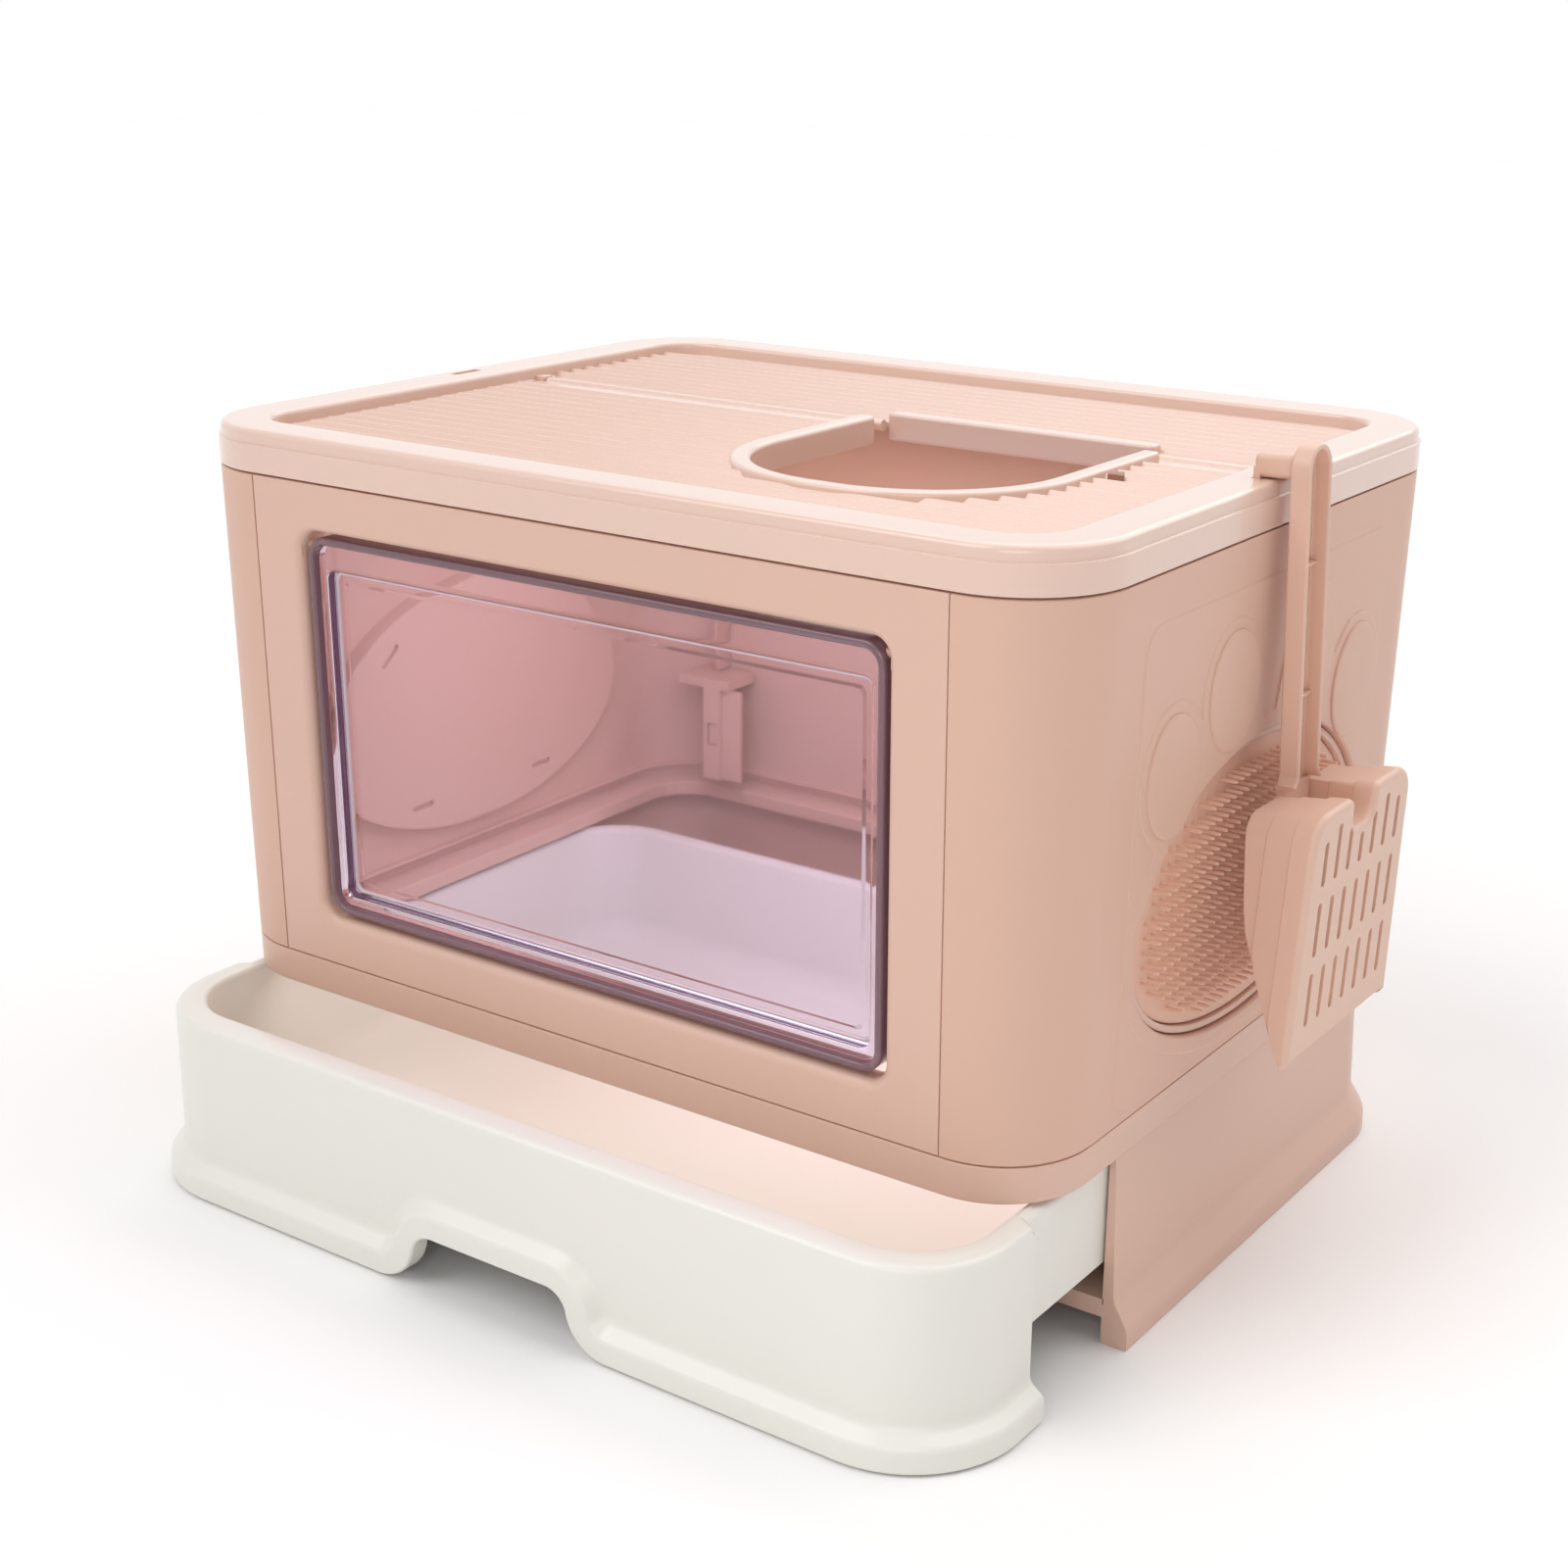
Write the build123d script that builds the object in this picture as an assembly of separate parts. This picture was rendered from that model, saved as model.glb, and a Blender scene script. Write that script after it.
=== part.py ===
from build123d import *
import os
from math import acos, atan, cos, degrees, radians, sin

# Top-entry litter box, in millimetres. The origin is on the floor, under the middle of the box.
# X runs to the right, Y to the back, Z up.

# Whole box: its width and height follow from the window and the frame round it
window_width = 343.0
window_height = 203.0
window_stile = 29.5  # from the window to the vertical seams
window_rise = 26.0  # from the wall seam to the window
window_head = 24.0  # from the window to the wall's top
lid_depth = 405.0
lid_corner = 52.0
corner_margin = 2.0  # flat wall between the seams and the rounded corners
base_height = 116.0
wall_thick = 3.0
wall_lean = 5.0  # how far the walls stand in at their feet
wall_setback = 0.4  # walls stand this far inside the lid's skirt
seam_gap = 0.5  # visible joint lines between panels
running_gap = 0.05  # radial clearance of hinge pins in their bores
press_gap = 0.01  # radial clearance of pins in the pieces that carry them
overrun = 6.0  # how far cutters run past the faces that they cut

panel_width = window_width + 2 * window_stile
lid_width = panel_width + 2 * (lid_corner + corner_margin)
wall_height = window_rise + window_height + window_head
wall_top = base_height + wall_height
lean_slope = wall_lean / wall_height
lean_angle = degrees(atan(lean_slope))

# Base
sill_height = 18.0
ring_width = 18.0  # from the sill's face to the litter guard
seat_width = 3.8  # flat seat that the walls stand on
guard_height = 9.0  # upright inner edge of the ring
ring_skin = 3.0
skirt_setback = 2.5
skirt_spread = 2.6  # skirts lean out down to the foot
skirt_thick = 3.0
skirt_reach = 117.0  # how far the side skirts come forward of the middle
foot_height = 24.0
foot_toe = 10.0  # upright edge at the bottom of the foot
foot_flare = 8.0
floor_level = 23.0
floor_thick = 2.5
floor_lip = 9.5
rail_height = 2.0
rail_width = 6.0
rail_spacing = 380.0
centre_foot_radius = 15.0

# Front panel and window
window_corner = 12.0
window_lip = 3.0
window_lip_depth = 16.0
window_edge = 2.4  # rounding of the opening's outer edge

# Window flap
flap_gap = 2.0
flap_corner = 14.0
flap_depth = 12.0
flap_recess = 2.5  # how far its face stands behind the panel's face
flap_pane = 2.5
flap_border = 10.0
flap_top_border = 18.0
flap_step = 5.0  # width of the outer step of the border
flap_step_depth = 4.0
flap_top_round = 4.5
flap_pin_drop = 6.0  # from the flap's top edge to its pins
flap_pin_radius = 2.0
flap_pin_length = 14.0
flap_boss = 6.0  # half size of the bosses that hold the pins
flap_boss_length = 10.0

# Corner clips and the posts that they grip
post_width = 13.0
post_depth = 29.0
post_height = 60.0
post_skin = 2.5
lip_depth = 12.0
lip_thick = 2.5
clip_cap_height = 6.0
clip_cap_width = 39.0
clip_skin = 2.5
clip_gap = 0.3
clip_leg_height = 28.0
snap_width = 6.0
snap_height = 13.0
snap_depth = 1.5

# Side panel relief and brush pocket
field_width = 262.0
field_low = 5.0  # above the wall seam
field_top = 21.0  # below the wall's top
field_corner = 14.0
field_rise = 0.6
toe_rise = 1.6
toe_width = 50.0
toe_height_share = 0.23  # shares of the wall's height, from its foot where they give a level
toe_tilt = 14.0
outer_toe_offset = 98.0
outer_toe_share = 0.628
inner_toe_offset = 42.0
inner_toe_share = 0.731
pad_half_width = 122.0
pad_upper_share = 0.316
pad_lower_share = 0.245
pad_level_share = 0.3  # the pad's widest line
pocket_depth = 10.0
pocket_skin = 2.5

# Brush carrier and mat
carrier_gap = 0.5
carrier_thick = 2.8
carrier_rim = 4.0
carrier_rim_setback = 0.8  # rim's edge below the wall's face
carrier_seat_gap = 0.2
tab_length = 15.0
tab_thick = 2.2
tab_reach = 4.5
tab_gap = 0.6
tab_angles = (-62.0, -118.0, 48.0)  # round the oval, from the front edge
mat_gap = 0.5
mat_thick = 1.6
bristle_length = 10.5
bristle_root = 2.4
bristle_tip = 1.4
bristle_pitch = 11.4
bristle_margin = 5.0

# Lid
lid_seat_gap = 0.5
lid_height = 21.5
lid_skin = 3.0
lid_edge = 4.0
lid_band = 4.3  # top band above the fine line round the skirt
lid_band_step = 0.6
rim_width = 27.0
rim_corner = 26.0
rim_wall = 2.5
deck_drop = 8.0  # deck below the rim's top
deck_thick = 2.5
locator_gap = 0.8
locator_thick = 2.4
locator_depth = 8.0
rib_pitch = 12.3
rib_height = 3.0
rib_back_share = 0.8  # share of the pitch on the gentle flank, behind the crest
slot_length = 21.0
slot_width = 5.0
slot_inset = 11.5  # slot's middle from the lid's edge

# Lid flap, entry hole and its hinge
hole_left = 8.0
hole_right = 162.0
hole_front = 120.0  # in front of the middle
hole_corner = 70.0
collar_width = 10.0
collar_rise = 5.0
collar_drop = 7.0
collar_edge = 1.6
seam_offset = 45.0  # hinge line behind the middle
flap_margin = 6.5  # ledge left beside the lid flap
ledge_width = 5.0
ledge_gap = 0.3
barrel_radius = 3.0
lid_pin_radius = 1.6
lid_pin_length = 14.0
hinge_gap = 0.4
hinge_clear = 9.0  # deck kept free of ribs beside the hinge
hinge_lug = 4.0  # half size of the lugs that hold the lid's pins
arrow_size = 9.0
arrow_rise = 0.8
arrow_offset = 11.0  # from the collar
arrow_setback = 72.0  # in front of the hinge line

# Drawer tray
drawer_out = 73.0  # pulled out this far at rest
fascia_setback = 7.5
fascia_side_setback = 1.8
fascia_corner = 50.0
fascia_skin = 2.8
fascia_gap = 0.6
drawer_floor_gap = 1.0
drawer_top_gap = 1.5
front_rim = 17.0
side_rim = 9.0
rim_thick = 3.0
rim_edge = 2.2
tray_side_gap = 1.3
tray_rear_gap = 2.0
tray_skin = 2.5
tray_skirt_low = 41.0
tray_corner = 46.0
tray_lean = 8.0
tray_rail_gap = 0.3
band_width = 20.0  # flared band along the fascia's foot
band_flare = 8.0
band_toe = 9.0
notch_width = 72.0
notch_height = 29.0
notch_foot_radius = 24.0
notch_top_radius = 12.0

# Litter scoop
scoop_lean = 2.2  # degrees, hanging away from the wall
handle_width = 24.4
handle_depth = 10.0
handle_skin = 2.4
handle_rise = 16.0  # above the lid's top
handle_standoff = 5.5  # from the lid's skirt
handle_rib = 1.6
handle_rib_shares = (0.36, 0.75)
handle_rib_height = 3.0
head_top = 146.0  # below the lid's top
head_length = 114.0
head_width = 110.0
tip_width = 118.0
head_depth = 39.0
tip_depth = 29.5
head_skin = 2.2
head_corner = 20.0
head_back = 2.5
head_edge_fall_shares = (0.09, 0.28, 0.46, 0.64, 0.79, 0.91)
head_edge_depth_shares = (0.0, 0.01, 0.04, 0.27, 0.48, 0.66)
groove_radius = 12.0
groove_skin = 2.2
slot_rows = 3
sift_width = 4.0
sift_length = 25.0
sift_pitch = 13.8
sift_row_pitch = 32.5
sift_first = 8.0  # below the head's top, to the first row's upper end
sift_drop_shares = (0.2, 0.0, 0.22, 0.46, 0.22, 0.0, 0.2)  # cut off the first row's slots, one share a column
hook_height = 11.0
hook_gap = 0.3
hook_leg = 3.6
hook_drop = 8.0


def half_width_at(level):
    return lid_width / 2 - wall_setback - (wall_top - level) * lean_slope


def half_depth_at(level):
    return lid_depth / 2 - wall_setback - (wall_top - level) * lean_slope


def corner_at(level):
    return lid_corner - wall_setback - (wall_top - level) * lean_slope


def body_section(level, grow):
    width = half_width_at(level) + grow
    depth = half_depth_at(level) + grow
    return Pos(0, 0, level) * RectangleRounded(2 * width, 2 * depth, corner_at(level) + grow)


def body_block(low, high, grow=0):
    return loft([body_section(low, grow), body_section(high, grow)], ruled=True)


def slab(x_limits, y_limits, z_limits):
    (x0, x1), (y0, y1), (z0, z1) = x_limits, y_limits, z_limits
    middle = Pos((x0 + x1) / 2, (y0 + y1) / 2, (z0 + z1) / 2)
    return middle * Box(x1 - x0, y1 - y0, z1 - z0)


def front_prism(outline, back, front):
    plane = Plane(origin=(0, back, 0), x_dir=(1, 0, 0), z_dir=(0, -1, 0))
    return extrude(plane * outline, amount=back - front, dir=plane.z_dir)


def side_prism(outline, inside, outside):
    plane = Plane(origin=(inside, 0, 0), x_dir=(0, 1, 0), z_dir=(1, 0, 0))
    return extrude(plane * outline, amount=outside - inside, dir=plane.z_dir)


def upright(outline, low, high):
    return extrude(Pos(0, 0, low) * outline, amount=high - low, dir=(0, 0, 1))


def cross_pin(radius, start, end, y, z):
    plane = Plane(origin=(start, y, z), x_dir=(0, 1, 0), z_dir=(1, 0, 0))
    return extrude(plane * Circle(radius), amount=end - start)


def both_sides(solid):
    return solid + mirror(solid, about=Plane.YZ)


def both_ends(solid):
    return solid + mirror(solid, about=Plane.XZ)


# Base: ring with sill and guard, skirts with flared feet, floor with rails
sill_low = base_height - sill_height
skirt_half = half_width_at(sill_low) - skirt_setback
skirt_half_depth = half_depth_at(sill_low) - skirt_setback
skirt_corner = corner_at(sill_low) - skirt_setback
skirt_inner_half = skirt_half - skirt_thick
skirt_inner_depth = skirt_half_depth - skirt_thick


def skirt_section(level, grow):
    outline = RectangleRounded(2 * (skirt_half + grow), 2 * (skirt_half_depth + grow), skirt_corner + grow)
    return Pos(0, 0, level) * outline


def make_base():
    ring = body_block(sill_low, base_height)
    ring -= body_block(sill_low - overrun, base_height + overrun, -ring_width)
    slope_low = body_section(sill_low + guard_height, -ring_width)
    slope_high = body_section(base_height, -seat_width)
    ring -= loft([slope_low, slope_high], ruled=True)
    channel_top = sill_low + guard_height - ring_skin
    channel = body_block(sill_low - overrun, channel_top, -ring_skin)
    channel -= body_block(sill_low - overrun, channel_top, ring_skin - ring_width)
    ring -= channel

    skirt_top = channel_top + ring_skin / 2
    profile = [(0, skirt_spread + foot_flare), (foot_toe, skirt_spread + foot_flare)]
    profile += [(foot_height, skirt_spread), (sill_low, 0), (skirt_top, 0)]
    skirt = loft([skirt_section(level, grow) for level, grow in profile], ruled=True)
    inside = RectangleRounded(2 * skirt_inner_half, 2 * skirt_inner_depth, skirt_corner - skirt_thick)
    skirt -= upright(inside, -overrun, skirt_top + overrun)
    across = (-lid_width, lid_width)
    skirt -= slab(across, (-lid_depth, -skirt_reach), (-overrun, skirt_top + overrun))

    outline = RectangleRounded(2 * skirt_half, 2 * skirt_half_depth, skirt_corner)
    floor = upright(outline, floor_level - floor_thick, floor_level)
    floor -= slab(across, (-lid_depth, -skirt_reach), (0, sill_low))
    inner = (-skirt_half, skirt_half)
    floor += slab(inner, (-skirt_reach, floor_thick - skirt_reach), (floor_level - floor_lip, floor_level))
    rail_x = (rail_spacing / 2 - rail_width / 2, rail_spacing / 2 + rail_width / 2)
    rail_z = (floor_level - floor_thick, floor_level + rail_height)
    floor += both_sides(slab(rail_x, (-skirt_reach, skirt_inner_depth), rail_z))
    floor += upright(Circle(centre_foot_radius), 0, floor_level - floor_thick / 2)
    return ring + skirt + floor


# Walls: two C-shaped sides, a front frame and a plain rear, split at the vertical seams
panel_half = panel_width / 2
panel_edge = panel_half - seam_gap / 2
side_edge = panel_half + seam_gap / 2
beyond = (-lid_depth, lid_depth)
wall_span = (base_height - overrun, wall_top + overrun)
walls = body_block(base_height, wall_top) - body_block(base_height - overrun, wall_top + overrun, -wall_thick)
wall_fill = body_block(base_height, wall_top, -wall_thick / 2)
post_inner = half_depth_at(base_height) - wall_thick - post_depth
cap_low = base_height + post_height + clip_gap
cap_high = cap_low + clip_cap_height
snap_level = base_height + post_height / 2


def edge_posts():
    # Posts at both edges of a flat panel, drawn at the rear
    x_limits = (panel_edge - post_skin, panel_edge)
    rise = (base_height, base_height + post_height)
    post = slab(x_limits, (post_inner + clip_skin + clip_gap, lid_depth), rise)
    face = (post_inner + clip_skin + clip_gap, post_inner + clip_skin + clip_gap + post_skin)
    post += slab((panel_edge - post_width, panel_edge), face, rise)
    snap_x = panel_edge - post_width / 2
    bump_x = (snap_x - snap_width / 2, snap_x + snap_width / 2)
    bump_z = (snap_level - snap_height / 2, snap_level + snap_height / 2)
    post += slab(bump_x, (face[0] - snap_depth, face[1]), bump_z)
    return both_sides(post & body_block(base_height, wall_top, -wall_thick / 2))


def make_rear_panel():
    plate = walls & slab((-panel_edge, panel_edge), (0, lid_depth), wall_span)
    return plate + edge_posts()


window_low = base_height + window_rise
window_high = window_low + window_height
window_middle = (window_low + window_high) / 2
flap_top = window_high - flap_gap
hinge_level = flap_top - flap_pin_drop
face_at_hinge = -half_depth_at(hinge_level)
hinge_back = face_at_hinge + flap_recess + flap_depth / 2
flap_half = window_width / 2 - flap_gap
pin_start = flap_half - flap_pin_length / 2 + flap_gap / 2
pin_end = pin_start + flap_pin_length


def window_outline(grow):
    outline = RectangleRounded(window_width + 2 * grow, window_height + 2 * grow, window_corner + grow)
    return Pos(0, window_middle) * outline


def make_front_panel():
    frame = walls & slab((-panel_edge, panel_edge), (-lid_depth, 0), wall_span)
    lip_back = -half_depth_at(window_middle) + window_lip_depth
    lip = front_prism(window_outline(window_lip), lip_back, -lid_depth)
    boss_x = (window_width / 2, window_width / 2 + flap_boss_length)
    boss_y = (-lid_depth, hinge_back + flap_boss)
    boss = slab(boss_x, boss_y, (hinge_level - flap_boss, hinge_level + flap_boss))
    frame += (lip + both_sides(boss)) & body_block(base_height, wall_top)
    frame -= front_prism(window_outline(0), overrun, -lid_depth)
    bore = cross_pin(flap_pin_radius + running_gap, 0, pin_end + seam_gap, hinge_back, hinge_level)
    frame -= both_sides(bore)
    face = frame.faces().filter_by(lambda f: f.normal_at().Y < 0).sort_by(SortBy.AREA)[-1]
    frame = fillet(face.inner_wires()[0].edges(), window_edge)
    return frame + mirror(edge_posts(), about=Plane.XZ)


def make_window_flap():
    face = hinge_back - flap_depth / 2
    height = window_height - 2 * flap_gap
    outline = Pos(0, window_middle) * RectangleRounded(2 * flap_half, height, flap_corner)
    flap = front_prism(outline, face + flap_depth, face)
    flap = fillet(flap.edges().filter_by(Axis.X).sort_by(Axis.Z)[-2:], flap_top_round)
    step = RectangleRounded(2 * (flap_half - flap_step), height - 2 * flap_step, flap_corner - flap_step)
    flap -= front_prism(Pos(0, window_middle) * step, face + flap_step_depth, face - overrun)
    pane_height = height - flap_border - flap_top_border
    pane_level = window_middle + (flap_border - flap_top_border) / 2
    pocket = RectangleRounded(2 * (flap_half - flap_border), pane_height, flap_corner - flap_step)
    flap -= front_prism(Pos(0, pane_level) * pocket, face + flap_depth - flap_pane, face - overrun)
    flap -= both_sides(cross_pin(flap_pin_radius + press_gap, pin_start, lid_width, hinge_back, hinge_level))
    axis = Axis((0, hinge_back, hinge_level), (1, 0, 0))
    return flap.rotate(axis, lean_angle)


def make_window_pins():
    pin = cross_pin(flap_pin_radius, pin_start, pin_end, hinge_back, hinge_level)
    return Compound(children=[pin.solid(), mirror(pin, about=Plane.YZ).solid()])


# Side panels: raised field with paw relief, pocket for the brush
toe_height = toe_height_share * wall_height
outer_toe_level = base_height + outer_toe_share * wall_height
inner_toe_level = base_height + inner_toe_share * wall_height
pad_upper = pad_upper_share * wall_height
pad_lower = pad_lower_share * wall_height
pad_level = base_height + pad_level_share * wall_height


def oval(shrink=0):
    width = 2 * (pad_half_width - shrink)
    upper = Ellipse(width / 2, pad_upper - shrink) & Pos(0, lid_depth / 2) * Rectangle(lid_width, lid_depth)
    lower = Ellipse(width / 2, pad_lower - shrink) & Pos(0, -lid_depth / 2) * Rectangle(lid_width, lid_depth)
    return Pos(0, pad_level) * (upper + lower)


pad_face = half_width_at(pad_level)
pocket_floor = pad_face - pocket_depth
carrier_back = pocket_floor + carrier_seat_gap
carrier_floor = carrier_back + carrier_thick
mat_face = carrier_floor + mat_thick


def tab_places():
    for angle in tab_angles:
        reach = pad_upper if sin(radians(angle)) > 0 else pad_lower
        inset = carrier_rim + tab_thick
        y = -(pad_half_width - 2 * inset) * cos(radians(angle))
        z = pad_level + (reach - 2 * inset) * sin(radians(angle))
        yield y, z


def relief(outline, rise):
    skin = body_block(base_height, wall_top, rise) - body_block(base_height, wall_top, -wall_thick / 2)
    return skin & side_prism(outline, 0, lid_width)


def make_side_panel():
    panel = walls & slab((side_edge, lid_width), beyond, wall_span)
    lip_high = wall_top - locator_depth - locator_gap
    lip = slab((side_edge, side_edge + lip_thick), beyond, (base_height, lip_high)) & wall_fill
    lip -= both_ends(slab((0, lid_width), (post_inner, lid_depth), (cap_low - clip_gap, cap_high + clip_gap)))
    inner_limit = half_depth_at(base_height) - wall_thick - lip_depth
    panel += lip - slab((0, lid_width), (-inner_limit, inner_limit), wall_span)
    field_height = wall_height - field_low - field_top
    field = RectangleRounded(field_width, field_height, field_corner)
    panel += relief(Pos(0, base_height + field_low + field_height / 2) * field, field_rise)
    toe = Ellipse(toe_width / 2, toe_height / 2)
    for side in (-1, 1):
        for offset, level in ((outer_toe_offset, outer_toe_level), (inner_toe_offset, inner_toe_level)):
            panel += relief(Pos(side * offset, level) * Rot(0, 0, -side * toe_tilt) * toe, toe_rise)
    pocket = side_prism(oval(-pocket_skin), pocket_floor - pocket_skin, lid_width)
    panel += pocket & body_block(base_height, wall_top, field_rise)
    panel -= side_prism(oval(), pocket_floor, lid_width)
    for y, z in tab_places():
        gap = Rectangle(tab_length + 2 * tab_gap, tab_thick + 2 * tab_gap)
        panel -= side_prism(Pos(y, z) * gap, 0, lid_width)
    return panel


def make_carrier():
    dish = side_prism(oval(carrier_gap), carrier_back, pad_face - carrier_rim_setback)
    dish -= side_prism(oval(carrier_gap + carrier_rim), carrier_floor, lid_width)
    dish &= body_block(base_height, wall_top, -carrier_rim_setback)
    for y, z in tab_places():
        tab = Rectangle(tab_length, tab_thick)
        dish += side_prism(Pos(y, z) * tab, carrier_back - tab_reach, carrier_floor)
    return dish


def bristle_places():
    rows = int((pad_upper + pad_lower) / bristle_pitch)
    columns = int(2 * pad_half_width / bristle_pitch)
    inset = carrier_gap + carrier_rim + mat_gap + bristle_margin
    for row in range(-rows, rows + 1):
        rise = row * bristle_pitch
        reach = pad_upper - inset if rise > 0 else pad_lower - inset
        for column in range(-columns, columns + 1):
            across = (column + row % 2 / 2) * bristle_pitch
            if (across / (pad_half_width - inset)) ** 2 + (rise / reach) ** 2 < 1:
                yield across, pad_level + rise


def make_mat():
    mat = side_prism(oval(carrier_gap + carrier_rim + mat_gap), carrier_floor, mat_face)
    root = Plane(origin=(mat_face - mat_thick / 2, 0, 0), x_dir=(0, 1, 0), z_dir=(1, 0, 0))
    tip = root.offset(bristle_length + mat_thick / 2)
    wide = root * Rectangle(bristle_root, bristle_root)
    narrow = tip * Rectangle(bristle_tip, bristle_tip)
    strand = loft([wide, narrow], ruled=True).solid()
    strands = [Pos(0, y, z) * strand for y, z in bristle_places()]
    print("bristles on one mat:", len(strands))
    return mat.solid().fuse(*strands)


# Lid: skirt, rim and rear deck in one, with a flap for the front deck
skirt_low = wall_top + lid_seat_gap
lid_top = skirt_low + lid_height
deck_level = lid_top - deck_drop
deck_low = deck_level - deck_thick
recess_half = lid_width / 2 - rim_width
recess_depth = lid_depth / 2 - rim_width
hinge_y = seam_offset
lid_hinge_level = deck_low + deck_thick / 2
deck_front = hinge_y + barrel_radius + hinge_gap
flap_side = recess_half - flap_margin
flap_front = flap_margin - recess_depth
slot_x = lid_width / 2 - slot_inset


def lid_outline(grow):
    return RectangleRounded(lid_width + 2 * grow, lid_depth + 2 * grow, lid_corner + grow)


def recess_outline(grow):
    return RectangleRounded(2 * (recess_half + grow), 2 * (recess_depth + grow), rim_corner + grow)


def rib_field(x_limits, y_limits):
    # Sawtooth ribs along X, with a steep front and a gentle fall to the back
    x0, x1 = x_limits
    count = int((y_limits[1] - y_limits[0]) / rib_pitch)
    root = deck_level - deck_thick / 2
    ribs = []
    for index in range(count):
        start = y_limits[0] + index * rib_pitch
        end = start + rib_pitch
        crest = end - rib_back_share * rib_pitch
        points = [(start, root), (start, deck_level), (crest, deck_level + rib_height)]
        points += [(end, deck_level), (end, root)]
        ribs.append(side_prism(Polygon(*points, align=None), x0, x1))
    return Part() + ribs


def hole_outline(grow):
    width = hole_right - hole_left + 2 * grow
    length = hole_front + grow + 2 * lid_depth
    ends = Pos((hole_left + hole_right) / 2, length / 2 - hole_front - grow)
    return ends * RectangleRounded(width, length, hole_corner + grow)


def make_lid_frame():
    frame = upright(lid_outline(0), skirt_low, lid_top - lid_band)
    band = upright(lid_outline(-lid_band_step), lid_top - lid_band, lid_top)
    band = fillet(band.faces().sort_by(Axis.Z)[-1].outer_wire().edges(), lid_edge - lid_band_step)
    frame += band
    hollow = upright(lid_outline(-lid_skin), skirt_low - overrun, lid_top - lid_skin)
    hollow -= upright(recess_outline(rim_wall), deck_low, lid_top)
    frame -= hollow
    frame -= upright(recess_outline(0), deck_level, lid_top + overrun)

    inner_half = half_width_at(wall_top) - wall_thick - locator_gap
    inner_depth = half_depth_at(wall_top) - wall_thick - locator_gap
    inner_corner = corner_at(wall_top) - wall_thick - locator_gap
    locator = RectangleRounded(2 * inner_half, 2 * inner_depth, inner_corner)
    locator -= offset(locator, -locator_thick)
    frame += upright(locator, skirt_low - locator_depth, lid_top - lid_skin / 2)

    shelf_side = flap_side - ledge_width
    ledge_z = (deck_low - deck_thick - ledge_gap, deck_low)
    ledge = slab((-recess_half, recess_half), (-recess_depth, deck_front), ledge_z)
    ledge -= slab((-shelf_side, shelf_side), (flap_front + ledge_width, lid_depth), (skirt_low, lid_top))
    keep_clear = (hinge_y - hinge_clear, deck_front)
    ledge -= slab((-flap_side, flap_side), keep_clear, (skirt_low, lid_top))
    frame += ledge
    frame -= slab((-flap_side, flap_side), (flap_front, deck_front), (deck_low - ledge_gap, lid_top))
    lug_y = (hinge_y - hinge_lug, hinge_y + hinge_lug)
    lug_z = (lid_hinge_level - hinge_lug, lid_hinge_level + hinge_lug)
    frame += both_sides(slab((flap_side, recess_half + rim_wall / 2), lug_y, lug_z))
    frame += rib_field((-recess_half, recess_half), (deck_front + collar_width, recess_depth))
    edge_z = (deck_low - collar_drop, deck_level + collar_rise)
    edge = slab((hole_left, hole_right), (deck_front, deck_front + collar_width), edge_z)
    frame += fillet(edge.edges().filter_by(Axis.X).sort_by(Axis.Z)[-2:], collar_edge)
    slot = Pos(slot_x, 0) * Rectangle(slot_width, slot_length)
    frame -= both_sides(upright(slot, deck_level, lid_top + overrun))
    bore_end = recess_half + rim_wall + overrun
    bore = cross_pin(lid_pin_radius + running_gap, 0, bore_end, hinge_y, lid_hinge_level)
    return frame - both_sides(bore)


def make_lid_flap():
    reach = flap_side - seam_gap
    front = flap_front + seam_gap
    plate = slab((-reach, reach), (front, hinge_y), (deck_low, deck_level))
    plate += rib_field((-reach, reach), (front, hinge_y - hinge_clear))
    collar = upright(hole_outline(collar_width), deck_low - collar_drop, deck_level + collar_rise)
    collar &= slab((-reach, reach), (front, hinge_y - hinge_clear), (skirt_low, lid_top))
    plate += fillet(collar.faces().sort_by(Axis.Z)[-1].edges().sort_by(Axis.Y)[:-1], collar_edge)
    plate += cross_pin(barrel_radius, -reach, reach, hinge_y, lid_hinge_level)
    plate -= upright(hole_outline(0), deck_low - collar_drop - overrun, lid_top)
    bore_start = reach - lid_pin_length / 2
    bore = cross_pin(lid_pin_radius + press_gap, bore_start, lid_width, hinge_y, lid_hinge_level)
    plate -= both_sides(bore)
    size = arrow_size
    arrow = Polygon((-size / 2, 0), (size / 2, 0), (0, size), align=None)
    place = Pos(hole_right + collar_width + arrow_offset, hinge_y - arrow_setback)
    return plate + upright(place * arrow, deck_low, deck_level + rib_height + arrow_rise)


def make_lid_pins():
    start = flap_side - seam_gap - lid_pin_length / 2
    pin = cross_pin(lid_pin_radius, start, start + lid_pin_length, hinge_y, lid_hinge_level)
    return Compound(children=[pin.solid(), mirror(pin, about=Plane.YZ).solid()])


# Drawer: basin, thick rim, side skirts and a fascia that reaches the floor
fascia_half = half_width_at(sill_low) - fascia_side_setback
fascia_front = fascia_setback - half_depth_at(sill_low)
fascia_rear = -skirt_reach - fascia_gap
tray_half = skirt_inner_half - tray_side_gap
tray_rear = skirt_inner_depth - tray_rear_gap
rim_top = sill_low - drawer_top_gap
basin_low = floor_level + rail_height + tray_rail_gap


def fascia_plan(grow, rear):
    length = lid_depth
    outline = RectangleRounded(2 * (fascia_half + grow), length, fascia_corner + grow)
    outline = Pos(0, fascia_front - grow + length / 2) * outline
    return outline & Pos(0, rear - lid_depth) * Rectangle(2 * lid_width, 2 * lid_depth)


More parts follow.
